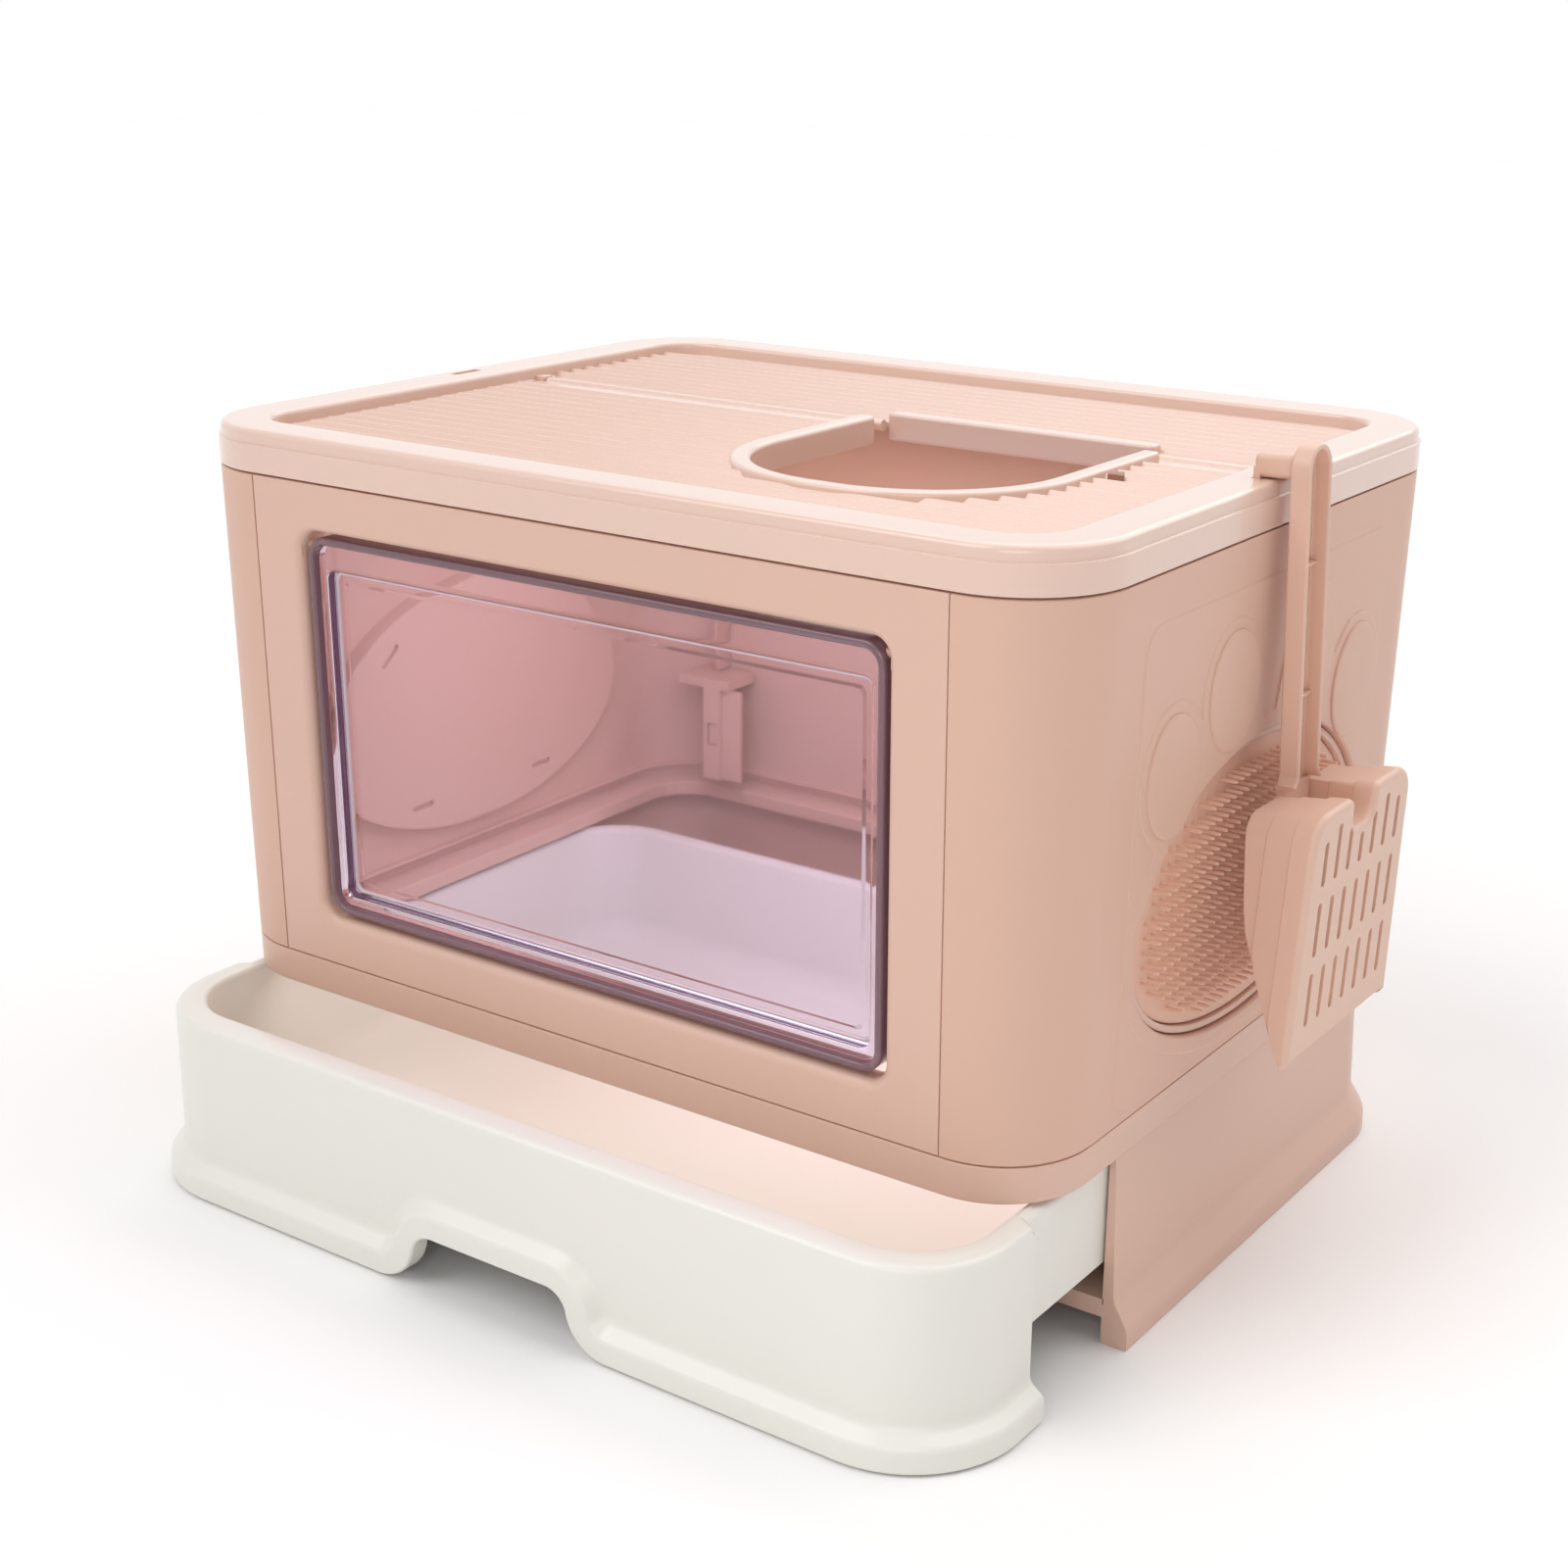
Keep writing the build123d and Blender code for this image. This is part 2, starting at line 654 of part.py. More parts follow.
def tray_plan(grow, front):
    length = tray_rear + grow - front
    return Pos(0, front + length / 2) * RectangleRounded(2 * (tray_half + grow), length, tray_corner + grow)


def basin_section(level, shrink):
    front = fascia_front + front_rim + shrink
    width = 2 * (tray_half - side_rim - shrink)
    length = tray_rear - side_rim - shrink - front
    outline = RectangleRounded(width, length, tray_corner - side_rim - shrink)
    return Pos(0, front + length / 2, level) * outline


def fascia_band():
    # Flared foot: swept along the front edge over the grip notch, lofted round the corners and returns
    toe = drawer_floor_gap
    rise = notch_height / (notch_foot_radius + notch_top_radius)
    sweep_angle = degrees(acos(1 - rise))
    run = (notch_foot_radius + notch_top_radius) * sin(radians(sweep_angle))
    end = fascia_half - fascia_corner
    straight = end - notch_width / 2 - run
    plane = Plane(origin=(-end, fascia_front, toe), x_dir=(1, 0, 0), z_dir=(0, -1, 0))
    path = Line((0, 0), (straight, 0))
    path += JernArc(path @ 1, path % 1, notch_foot_radius, sweep_angle)
    path += JernArc(path @ 1, path % 1, notch_top_radius, -sweep_angle)
    path += Line(path @ 1, path @ 1 + Vector(notch_width, 0))
    path += JernArc(path @ 1, path % 1, notch_top_radius, -sweep_angle)
    path += JernArc(path @ 1, path % 1, notch_foot_radius, sweep_angle)
    path += Line(path @ 1, path @ 1 + Vector(straight, 0))
    slope = ((0, band_flare), (band_toe, band_flare), (band_width, 0))
    start = Plane(origin=(-end, fascia_front, toe), x_dir=(0, 1, 0), z_dir=(1, 0, 0))
    points = [(fascia_skin / 2, 0)] + [(-out, level) for level, out in slope]
    points += [(fascia_skin / 2, band_width)]
    band = sweep(start * Polygon(*points, align=None), path=plane * path)
    sections = [Pos(0, 0, toe + level) * fascia_plan(out, fascia_rear) for level, out in slope]
    corner = loft(sections, ruled=True)
    corner -= upright(fascia_plan(-fascia_skin, fascia_rear + overrun), 0, rim_top)
    corner -= slab((-end, end), beyond, (-overrun, rim_top))
    closing = Line(path @ 1, path @ 0)
    below = plane * make_face(Wire((path + closing).edges()))
    notch = extrude(below, amount=overrun, both=True)
    return band + corner, notch


def make_drawer():
    outline = fascia_plan(0, fascia_rear) + tray_plan(0, fascia_front)
    rim = upright(outline, rim_top - rim_thick, rim_top)
    rim = fillet(rim.faces().sort_by(Axis.Z)[-1].outer_wire().edges(), rim_edge)
    fascia = fascia_plan(0, fascia_rear) - fascia_plan(-fascia_skin, fascia_rear + overrun)
    tray = rim + upright(fascia, drawer_floor_gap, rim_top - rim_edge)
    band, notch = fascia_band()
    tray -= notch
    skirt = tray_plan(0, fascia_front) - tray_plan(-tray_skin, fascia_front - lid_depth)
    skirt &= Pos(0, fascia_rear - fascia_skin + lid_depth) * Rectangle(2 * lid_width, 2 * lid_depth)
    tray += upright(skirt, tray_skirt_low, rim_top - rim_edge)
    web_x = (tray_half - tray_skin, fascia_half - fascia_skin / 2)
    web = slab(web_x, (fascia_rear - fascia_skin, fascia_rear), (tray_skirt_low, rim_top - rim_edge))
    tray += both_sides(web)
    tray += band
    basin_floor = basin_section(basin_low, tray_lean - tray_skin)
    tray += loft([basin_floor, basin_section(rim_top - rim_edge, -tray_skin)])
    basin_floor = basin_section(basin_low + tray_skin, tray_lean)
    tray -= loft([basin_floor, basin_section(rim_top + rim_edge, 0)])
    return Pos(0, -drawer_out, 0) * tray


# Scoop: slotted plate with tapering sides, channelled handle, block and leg that hang in the rim's slot
handle_back = lid_width / 2 + handle_standoff
scoop_top = lid_top + handle_rise
head_level = lid_top - head_top
tip_level = head_level - head_length


def head_outline(shrink):
    top, tip = head_width / 2 - shrink, tip_width / 2 - shrink
    points = ((-tip, tip_level), (tip, tip_level), (top, head_level - shrink), (-top, head_level - shrink))
    outline = Polygon(*points, align=None)
    return fillet(outline.vertices().sort_by(Axis.Y)[-2:], head_corner - shrink)


def head_profile():
    depth = tip_depth - head_back
    falls = [head_level - share * head_length for share in head_edge_fall_shares]
    edge = list(zip([head_back + share * depth for share in head_edge_depth_shares], falls))
    points = [(head_back, head_level), (head_depth, head_level), (tip_depth, tip_level)] + edge[::-1]
    return Polygon(*points, align=None)


def head_hollow():
    plate_top = (head_depth - head_skin, head_level + overrun)
    slope = (head_depth - tip_depth) * overrun / head_length
    plate_tip = (tip_depth - head_skin - slope, tip_level - overrun)
    points = (plate_top, plate_tip, (-overrun, tip_level - overrun), (-overrun, head_level + overrun))
    return Polygon(*points, align=None)


def along_y(outline, half):
    # Outlines of the scoop are drawn in X and Z, from the handle's back face
    return Pos(handle_back, 0, 0) * front_prism(outline, half, -half)


def make_scoop():
    reach = tip_width
    head = along_y(head_profile(), reach) & side_prism(head_outline(0), 0, lid_width)
    hollow = along_y(head_hollow(), reach) & side_prism(head_outline(head_skin), 0, lid_width)
    head -= hollow
    trough_end = handle_back + head_depth
    trough_start = handle_back + head_back
    trough = cross_pin(groove_radius + groove_skin, trough_start, trough_end - head_skin, 0, head_level)
    head += trough & slab((0, lid_width), beyond, (0, head_level))
    for row in range(slot_rows):
        for column, share in enumerate(sift_drop_shares):
            across = (column - (len(sift_drop_shares) - 1) / 2) * sift_pitch
            drop = share * sift_length if row == 0 else 0
            length = sift_length - drop
            level = head_level - sift_first - row * sift_row_pitch - (sift_length + drop) / 2
            cut = Pos(across, level) * Rot(0, 0, 90) * SlotOverall(length, sift_width)
            head -= side_prism(cut, handle_back + tip_depth / 2, lid_width)

    half = handle_width / 2
    stem_length = scoop_top - half - head_level
    stem_middle = Pos(0, head_level + stem_length / 2)
    stem = stem_middle * Rectangle(handle_width, stem_length) + Pos(0, scoop_top - half) * Circle(half)
    handle = side_prism(stem, handle_back, handle_back + handle_depth)
    bar = half - handle_skin
    channel = stem_middle * Rectangle(2 * bar, stem_length) + Pos(0, scoop_top - half) * Circle(bar)
    handle -= side_prism(channel, handle_back + handle_skin, lid_width)
    for share in handle_rib_shares:
        level = scoop_top - share * (scoop_top - head_level)
        x_limits = (handle_back, handle_back + handle_skin + handle_rib_height)
        handle += slab(x_limits, (-half, half), (level, level + handle_rib))
    gusset_low = head_level - groove_radius - groove_skin
    gusset_x = (handle_back, handle_back + head_back + head_skin)
    handle += slab(gusset_x, (-half, half), (gusset_low, head_level))
    scoop = head + handle
    groove = cross_pin(groove_radius, handle_back + head_back + head_skin, lid_width, 0, head_level)
    scoop -= groove & slab((0, lid_width), beyond, (0, head_level + overrun))
    leg_x = (slot_x - hook_leg / 2, slot_x + hook_leg / 2)
    hook_low = lid_top + hook_gap
    width = (-slot_length / 2 + hook_gap, slot_length / 2 - hook_gap)
    scoop += slab((leg_x[0], handle_back), width, (hook_low, hook_low + hook_height))
    scoop = scoop.rotate(Axis((slot_x, 0, lid_top), (0, 1, 0)), -scoop_lean)
    return scoop + slab(leg_x, width, (lid_top - hook_drop, hook_low + hook_height / 2))


# Corner clip: cap over the post and the side panel's lip, slat in front of the post, leg behind the lip
def make_clip():
    inner = panel_edge - post_width
    wall_face = half_depth_at(base_height) - wall_thick - clip_gap
    cap_x = (panel_edge - clip_cap_width / 2, panel_edge + clip_cap_width / 2)
    clip = slab(cap_x, (post_inner, wall_face), (cap_low, cap_high))
    slat_z = (base_height + clip_gap, cap_low)
    slat = slab((inner, panel_edge), (post_inner, post_inner + clip_skin), slat_z)
    snap_x = inner + post_width / 2
    gap = snap_depth / 2
    window_x = (snap_x - snap_width / 2 - gap, snap_x + snap_width / 2 + gap)
    window_z = (snap_level - snap_height / 2 - gap, snap_level + snap_height / 2 + gap)
    clip += slat - slab(window_x, (0, lid_depth), window_z)
    leg_x = (side_edge + lip_thick + clip_gap, side_edge + lip_thick + clip_gap + clip_skin)
    clip += slab(leg_x, (wall_face - lip_depth, wall_face), (cap_low - clip_leg_height, cap_low))
    return clip & body_block(base_height, wall_top, -wall_thick - clip_gap)


rear_right_clip = make_clip()
front_right_clip = mirror(rear_right_clip, about=Plane.XZ)
right_side_panel = make_side_panel()
right_carrier = make_carrier()
right_mat = make_mat()

nodes = {
    "base_frame": make_base(),
    "drawer_tray": make_drawer(),
    "front_panel": make_front_panel(),
    "rear_panel": make_rear_panel(),
    "right_side_panel": right_side_panel,
    "left_side_panel": mirror(right_side_panel, about=Plane.YZ),
    "rear_right_clip": rear_right_clip,
    "rear_left_clip": mirror(rear_right_clip, about=Plane.YZ),
    "front_right_clip": front_right_clip,
    "front_left_clip": mirror(front_right_clip, about=Plane.YZ),
    "window_flap": make_window_flap(),
    "window_hinge_pins": make_window_pins(),
    "lid_frame": make_lid_frame(),
    "lid_flap": make_lid_flap(),
    "lid_hinge_pins": make_lid_pins(),
    "brush_carrier_right": right_carrier,
    "brush_carrier_left": mirror(right_carrier, about=Plane.YZ),
    "brush_mat_right": right_mat,
    "brush_mat_left": mirror(right_mat, about=Plane.YZ),
    "litter_scoop": make_scoop(),
}

os.makedirs("parts", exist_ok=True)
for name, shape in nodes.items():
    export_step(shape, f"parts/{name}.step")
    box = shape.bounding_box()
    print(name, len(shape.solids()), [round(v, 1) for v in (*box.min, *box.max)])
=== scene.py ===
import math
import bmesh
import bpy
import numpy as np
from mathutils import Matrix, Vector
from mathutils.geometry import tessellate_polygon


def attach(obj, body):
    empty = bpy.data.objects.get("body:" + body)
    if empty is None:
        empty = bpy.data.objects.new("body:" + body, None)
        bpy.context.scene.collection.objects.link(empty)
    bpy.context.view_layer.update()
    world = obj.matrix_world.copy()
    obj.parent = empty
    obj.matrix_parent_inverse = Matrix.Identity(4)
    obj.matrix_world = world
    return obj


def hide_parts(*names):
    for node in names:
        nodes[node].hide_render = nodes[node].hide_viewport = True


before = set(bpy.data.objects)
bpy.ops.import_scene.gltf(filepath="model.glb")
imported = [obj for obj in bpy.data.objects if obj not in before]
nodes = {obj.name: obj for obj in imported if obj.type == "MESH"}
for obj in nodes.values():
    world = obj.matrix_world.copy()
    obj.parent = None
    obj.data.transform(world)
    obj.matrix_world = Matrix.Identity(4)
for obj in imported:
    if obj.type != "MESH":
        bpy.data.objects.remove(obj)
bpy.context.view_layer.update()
scene = bpy.context.scene
mm = 0.001  # pieces are worked out in millimetres


def newObject(name, data):
    # object on that data, linked to the scene
    obj = bpy.data.objects.new(name, data)
    scene.collection.objects.link(obj)
    return obj


# camera: the photo's viewing angle, place in metres
cameraView = dict(
    azimuth=35.193, elevation=18.364, roll=0.5207, focalPixels=2460.54, place=(0.68928, -1.00830, 0.60020),
    imageSize=1600, sensor=36.0, clip=(0.05, 50))


def setCamera(v):
    # looks back along azimuth and elevation and rolls about that line; lens from a focal length in pixels
    az, el, roll = (math.radians(v[k]) for k in ("azimuth", "elevation", "roll"))
    back = Vector((math.sin(az) * math.cos(el), -math.cos(az) * math.cos(el), math.sin(el)))
    level = (-back).cross(Vector((0, 0, 1))).normalized()
    rise = level.cross(-back)
    right = level * math.cos(roll) + rise * math.sin(roll)
    up = rise * math.cos(roll) - level * math.sin(roll)
    data = bpy.data.cameras.new("photoCamera")
    data.sensor_width = v["sensor"]
    data.lens = v["focalPixels"] / v["imageSize"] * v["sensor"]
    data.clip_start, data.clip_end = v["clip"]
    scene.camera = newObject("photoCamera", data)
    turn = Matrix((right, up, back)).transposed().to_4x4()
    scene.camera.matrix_world = Matrix.Translation(Vector(v["place"])) @ turn


setCamera(cameraView)
print("camera set")


# shapes shared by the pieces
def unit(angle):
    # directions (cosine, sine) at the angles
    return np.stack((np.cos(angle), np.sin(angle)), 1)


def unitArc(start, end, steps):
    # directions from one angle to the other in degrees
    return unit(np.radians(np.linspace(start, end, steps + 1)))


def arcPoints(centre, radius, start, end, steps):
    # circle of that radius about the centre, from one angle to the other in degrees
    return np.asarray(centre) + radius * unitArc(start, end, steps)


def roundRect(halfX, halfY, radius, steps, middle=(0, 0)):
    # four quarter circles joined by straight sides, counter-clockwise, with outward normals
    quarter = np.radians(np.linspace(0, 90, steps + 1))
    nrm = unit((quarter[None, :] + np.radians([0, 90, 180, 270])[:, None]).ravel())
    corner = np.repeat(np.array([(1, 1), (-1, 1), (-1, -1), (1, -1)]), steps + 1, 0)
    pts = corner * np.array((halfX - radius, halfY - radius)) + radius * nrm
    return pts + np.asarray(middle), nrm


def softened(points, radii, steps, closed=True):
    # polygon whose corners give way to arcs that touch both of their sides
    p = np.asarray(points, float)
    out = []
    for i in range(len(p)):
        if radii[i] <= 0 or (not closed and i in (0, len(p) - 1)):
            out.append(p[i:i + 1])
            continue
        a, b = p[i - 1] - p[i], p[(i + 1) % len(p)] - p[i]
        la, lb = np.linalg.norm(a), np.linalg.norm(b)
        a, b = a / la, b / lb
        half = math.acos(max(-1, min(1, float(a @ b)))) / 2
        cut = min(radii[i] / math.tan(half), 0.49 * la, 0.49 * lb)
        mid = a + b
        centre = p[i] + mid / np.linalg.norm(mid) * cut / math.cos(half)
        s, e = p[i] + a * cut - centre, p[i] + b * cut - centre
        turn = math.atan2(s[0] * e[1] - s[1] * e[0], s @ e)
        t = math.atan2(s[1], s[0]) + turn * np.linspace(0, 1, steps + 1)
        out.append(centre + np.linalg.norm(s) * unit(t))
    return np.concatenate(out)


def rayRect(theta, halfX, low, high, radius=0.0001, farthest=600.0, halvings=40):
    # distance from the origin to a rounded rectangle along each direction, found by bisection
    c, s = np.cos(theta), np.sin(theta)
    lo, hi = np.zeros_like(theta), np.full_like(theta, farthest)
    for _ in range(halvings):
        t = (lo + hi) / 2
        dx = np.abs(t * c) - (halfX - radius)
        dy = np.maximum(t * s - (high - radius), (low + radius) - t * s)
        d = np.hypot(np.maximum(dx, 0), np.maximum(dy, 0)) + np.minimum(np.maximum(dx, dy), 0) - radius
        lo, hi = np.where(d < 0, t, lo), np.where(d < 0, hi, t)
    return lo


def cornerTurns(x, y):
    # directions of the four points (x, y) with either sign
    return [math.atan2(sy * y, sx * x) for sx in (-1, 1) for sy in (-1, 1)]


def rayAngles(count, marks, reach, steps, also=()):
    # even turns, closer ones within reach degrees of each mark, and some that have to be met
    near = [m + d for m in marks for d in np.radians(np.linspace(-reach, reach, steps))]
    even = np.linspace(-np.pi, np.pi, count)[:-1]
    return np.unique(np.round(np.concatenate((even, near, also)), 6))


def polar(theta, ray, level):
    # places across and up at those distances along the directions from a middle at that level
    return ray * np.cos(theta), ray * np.sin(theta) + level


def bothEnds(start, middle):
    # start, middle, and the start again, mirrored in its first coordinate and run backwards
    return np.concatenate((start, middle, start[::-1] * np.array((-1.0, 1.0))))


def rearHalf(path, normals, half, front):
    # right side, rear and left side of a closed plan, carried straight on to the front limit
    n = len(path) // 2
    return (np.concatenate(([(half, front)], path[:n], [(-half, front)])),
            np.concatenate(([(1, 0)], normals[:n], [(-1, 0)])))


def carry(path, normals, profile):
    # profile (out, up) carried along a level path: path + out * normal, at height up
    grid = np.empty((len(path), len(profile), 3))
    grid[..., :2] = path[:, None] + profile[None, :, :1] * normals[:, None]
    grid[..., 2] = profile[None, :, 1]
    return grid


def atLevel(plan, z):
    # plan points (x, y) at one height
    return np.column_stack((plan, np.full(len(plan), z)))


def atDepth(x, face):
    # points (y, z) of an upright face at x, which is one value or one for each point
    return np.column_stack((np.broadcast_to(x, len(face)), face))


def span(side, a, b):
    # limits on the right, or mirrored to the left
    return sorted((side * a, side * b))


def turnedAbout(place, degrees, axis):
    # turn about an axis through a place
    there = Matrix.Translation(Vector(place))
    return there @ Matrix.Rotation(math.radians(degrees), 4, axis) @ there.inverted()


def slotted(rim, loops):
    # flat face inside the rim, open at the loops: its points and triangles
    loops = [rim] + loops
    return np.concatenate(loops), tessellate_polygon([[Vector((*p, 0)) for p in loop] for loop in loops])


def gridFaces(nu, nv, wrapU, wrapV):
    # each face joins a grid point with the next in u, in both and in v
    i, j = np.meshgrid(np.arange(nu if wrapU else nu - 1), np.arange(nv if wrapV else nv - 1), indexing="ij")
    i2, j2 = (i + 1) % nu, (j + 1) % nv
    return np.stack((i * nv + j, i2 * nv + j, i2 * nv + j2, i * nv + j2), -1).reshape(-1, 4)


class Skin:
    # gathers surfaces in millimetres and makes them one mesh
    merge = 0.004  # points closer than this become one

    def __init__(self):
        self.verts, self.faces, self.count = [], [], 0

    def add(self, verts, faces):
        # faces count from the first of these points
        self.verts.append(np.asarray(verts, float).reshape(-1, 3))
        self.faces += [tuple(int(k) + self.count for k in f) for f in faces]
        self.count += len(self.verts[-1])
        return self

    def grid(self, g, wrapU=False, wrapV=False, capU=False, drop=None):
        # surface on a grid; capU closes both ends of a closed profile, drop leaves faces out
        nu, nv = g.shape[:2]
        faces = gridFaces(nu, nv, wrapU, wrapV)
        if drop is not None:
            faces = faces[~drop]
        faces = faces.tolist()
        if capU:
            faces += [list(range(nv))[::-1], list(range((nu - 1) * nv, nu * nv))]
        return self.add(g, faces)

    def sweep(self, path, normals, profile, wrap=True):
        # closed profile carried round a closed path, or along an open one with both ends capped
        return self.grid(carry(path, normals, profile), wrapU=wrap, wrapV=True, capU=not wrap)

    def loops(self, rings, fillLast=False, fillFirst=False):
        # rings of equal count joined one to the next
        g = np.stack(rings, 1)
        nu, nv = g.shape[:2]
        first = np.arange(nu) * nv
        faces = gridFaces(nu, nv, True, False).tolist()
        if fillLast:
            faces.append(first + nv - 1)
        if fillFirst:
            faces.append(first[::-1])
        return self.add(g, faces)

    def bar(self, x, y, z, r=0.5, steps=2):
        # box with every edge rounded: rounded plan carried up a rounded profile
        (x0, x1), (y0, y1), (z0, z1) = x, y, z
        halfX, halfY = (x1 - x0) / 2, (y1 - y0) / 2
        r = min(r, halfX * 0.95, halfY * 0.95, (z1 - z0) * 0.45)
        path, nrm = roundRect(halfX, halfY, r, steps, ((x0 + x1) / 2, (y0 + y1) / 2))
        side = (arcPoints((-r, z0 + r), r, -90, 0, steps), arcPoints((-r, z1 - r), r, 0, 90, steps))
        return self.loops(np.moveaxis(carry(path, nrm, np.concatenate(side)), 1, 0), True, True)

    def rows(self, y, z, x0, x1):
        # closed cross-section in (y, z) stretched in X between limits given for each of its points
        face = np.column_stack((y, z))
        return self.grid(np.stack((atDepth(x0, face), atDepth(x1, face))), wrapV=True, capU=True)

    def moved(self, matrix, since=0):
        # turns and shifts what was added since then
        for k in range(since, len(self.verts)):
            v = self.verts[k]
            self.verts[k] = v @ np.array(matrix.to_3x3()).T + np.array(matrix.translation)
        return self

    def mirrored(self):
        # the same on the other side, faces turned to point outwards again
        other = Skin()
        other.verts = [v * np.array((-1, 1, 1)) for v in self.verts]
        other.faces = [f[::-1] for f in self.faces]
        other.count = self.count
        return other

    def piece(self, name, finish, body, replaced=(), slot="shell_plastic", sharp=32):
        # merged mesh in metres, smooth but for edges sharper than that many degrees
        mesh = bpy.data.meshes.new(name)
        mesh.from_pydata((np.concatenate(self.verts) * mm).tolist(), [], self.faces)
        bm = bmesh.new()
        bm.from_mesh(mesh)
        bmesh.ops.remove_doubles(bm, verts=bm.verts, dist=self.merge * mm)
        bmesh.ops.dissolve_degenerate(bm, edges=bm.edges, dist=self.merge * mm * 0.5)
        bmesh.ops.recalc_face_normals(bm, faces=bm.faces)
        bm.to_mesh(mesh)
        bm.free()
        mesh.shade_smooth()
        mesh.set_sharp_from_angle(angle=math.radians(sharp))
        mesh.materials.append(paint[finish])
        obj = newObject(name, mesh)
        weigh = obj.modifiers.new("weigh", "WEIGHTED_NORMAL")  # wide flats keep their normal beside small roundings
        weigh.keep_sharp = True
        deps = bpy.context.evaluated_depsgraph_get()
        done = obj.evaluated_get(deps)
        obj.data = bpy.data.meshes.new_from_object(done, preserve_all_data_layers=True, depsgraph=deps)
        obj.modifiers.clear()
        bpy.data.meshes.remove(mesh)
        obj.data.name = name
        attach(obj, body)
        if replaced:
            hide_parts(*replaced)
        print("made", name, len(obj.data.polygons), "faces")


# materials
def linear(r, g, b):
    # screen colour in 0..255 to the linear values that sockets take
    c = np.array((r, g, b)) / 255.0
    return tuple(float(v) for v in np.where(c < 0.04045, c / 12.92, ((c + 0.055) / 1.055) ** 2.4)) + (1.0,)


def setInputs(node, values):
    # constants on a node's sockets
    for socket, value in values.items():
        node.inputs[socket].default_value = value


def mixByRay(tree, ray, plain, other, output):
    # the other shader where the ray value is one, the plain one elsewhere
    mix = tree.nodes.new("ShaderNodeMixShader")
    for k, socket in enumerate((ray, plain.outputs[0], other.outputs[0])):
        tree.links.new(socket, mix.inputs[k])
    tree.links.new(mix.outputs[0], tree.nodes[output].inputs["Surface"])


def makeSkinGroup():
    # moulded plastic: slow colour drift, fine satin grain and a faint long-wave ripple
    g = bpy.data.node_groups.new("mouldedSkin", "ShaderNodeTree")
    for way, name, kind in (("INPUT", "Colour", "Color"), ("INPUT", "Drift", "Float"), ("INPUT", "Roughness", "Float"),
                            ("INPUT", "Spread", "Float"), ("OUTPUT", "Colour", "Color"),
                            ("OUTPUT", "Roughness", "Float"), ("OUTPUT", "Height", "Float")):
        g.interface.new_socket(name, in_out=way, socket_type="NodeSocket" + kind)
    n, link = g.nodes, g.links.new
    inp, out = n.new("NodeGroupInput"), n.new("NodeGroupOutput")
    coord = n.new("ShaderNodeTexCoord")
    slow, fine, ripple = (n.new("ShaderNodeTexNoise") for _ in range(3))
    for tex, scale, detail in ((slow, 5.0, 2.0), (fine, 900.0, 2.0), (ripple, 26.0, 1.0)):
        setInputs(tex, {"Scale": scale, "Detail": detail})
        link(coord.outputs["Object"], tex.inputs["Vector"])

    def maths(op, a, b):
        # one math node on sockets or plain numbers
        m = n.new("ShaderNodeMath")
        m.operation = op
        for k, v in enumerate((a, b)):
            if isinstance(v, float):
                m.inputs[k].default_value = v
            else:
                link(v, m.inputs[k])
        return m.outputs[0]

    centred = maths("SUBTRACT", slow.outputs["Fac"], 0.5)
    value = maths("ADD", maths("MULTIPLY", centred, inp.outputs["Drift"]), 1.0)
    tint = n.new("ShaderNodeHueSaturation")
    link(inp.outputs["Colour"], tint.inputs["Color"])
    link(value, tint.inputs["Value"])
    link(tint.outputs["Color"], out.inputs["Colour"])
    wobble = maths("MULTIPLY", maths("SUBTRACT", fine.outputs["Fac"], 0.5), inp.outputs["Spread"])
    patchy = maths("MULTIPLY", centred, inp.outputs["Spread"])
    link(maths("ADD", maths("ADD", wobble, patchy), inp.outputs["Roughness"]), out.inputs["Roughness"])
    link(maths("ADD", maths("MULTIPLY", fine.outputs["Fac"], 0.35), ripple.outputs["Fac"]), out.inputs["Height"])
    return g


skinGroup = makeSkinGroup()
plainFinish = dict(
    drift=0.05, roughness=0.4, spread=0.1, bump=0.05, bumpDeep=0.0006, coat=0.0, coatRough=0.18, gloss=0.5, clear=0.0,
    ior=1.46, through=None)
finishes = {
    "blushShell": {"colour": linear(226, 188, 170), "roughness": 0.36, "coat": 0.08},
    # side walls: a slightly darker, deeper copy of the shell colour, painted shade on the sides, with weaker gloss
    "blushShadedSide": {"colour": linear(225, 185, 166), "gloss": 0.3},
    # lid: a paler copy of the shell colour, painted light and sheen for its brightly lit top, under a full clear coat
    "blushLitLid": {"colour": linear(234, 201, 185), "roughness": 0.34, "coat": 1.0},
    # arrow: a dark colour on a raised arrow, painted shade standing in for the shadow of a recessed one
    "arrowPaintedShade": {"colour": linear(158, 110, 92), "roughness": 0.45},
    "blushBrush": {"colour": linear(236, 194, 172), "drift": 0.06, "roughness": 0.5},
    "blushScoop": {"colour": linear(230, 192, 172), "coat": 0.08},
    "milkTray": {"colour": linear(240, 238, 230), "drift": 0.03, "roughness": 0.3, "spread": 0.08, "bump": 0.035,
                 "coat": 0.2},
    # window rim: smoked like the pane but darker and less clear, partly the real tint and partly painted shade of its
    # edges
    "smokedShadedRim": {"colour": linear(156, 122, 135), "roughness": 0.12, "spread": 0.05, "bump": 0.02, "coat": 0.3,
                  "clear": 0.55},
    # window bead: a pale colour on a thin bead, a painted glint along the pane's inner step
    "paleGlintBead": {"colour": linear(238, 214, 220), "roughness": 0.14, "spread": 0.05, "bump": 0.02, "coat": 0.6,
                   "clear": 0.25},
    "smokedPane": {"colour": (0.79, 0.74, 0.94, 1.0), "roughness": 0.04, "spread": 0.05, "bump": None, "clear": 1.0,
                   "ior": 1.42, "through": (0.92, 0.84, 0.91, 1.0)},
}


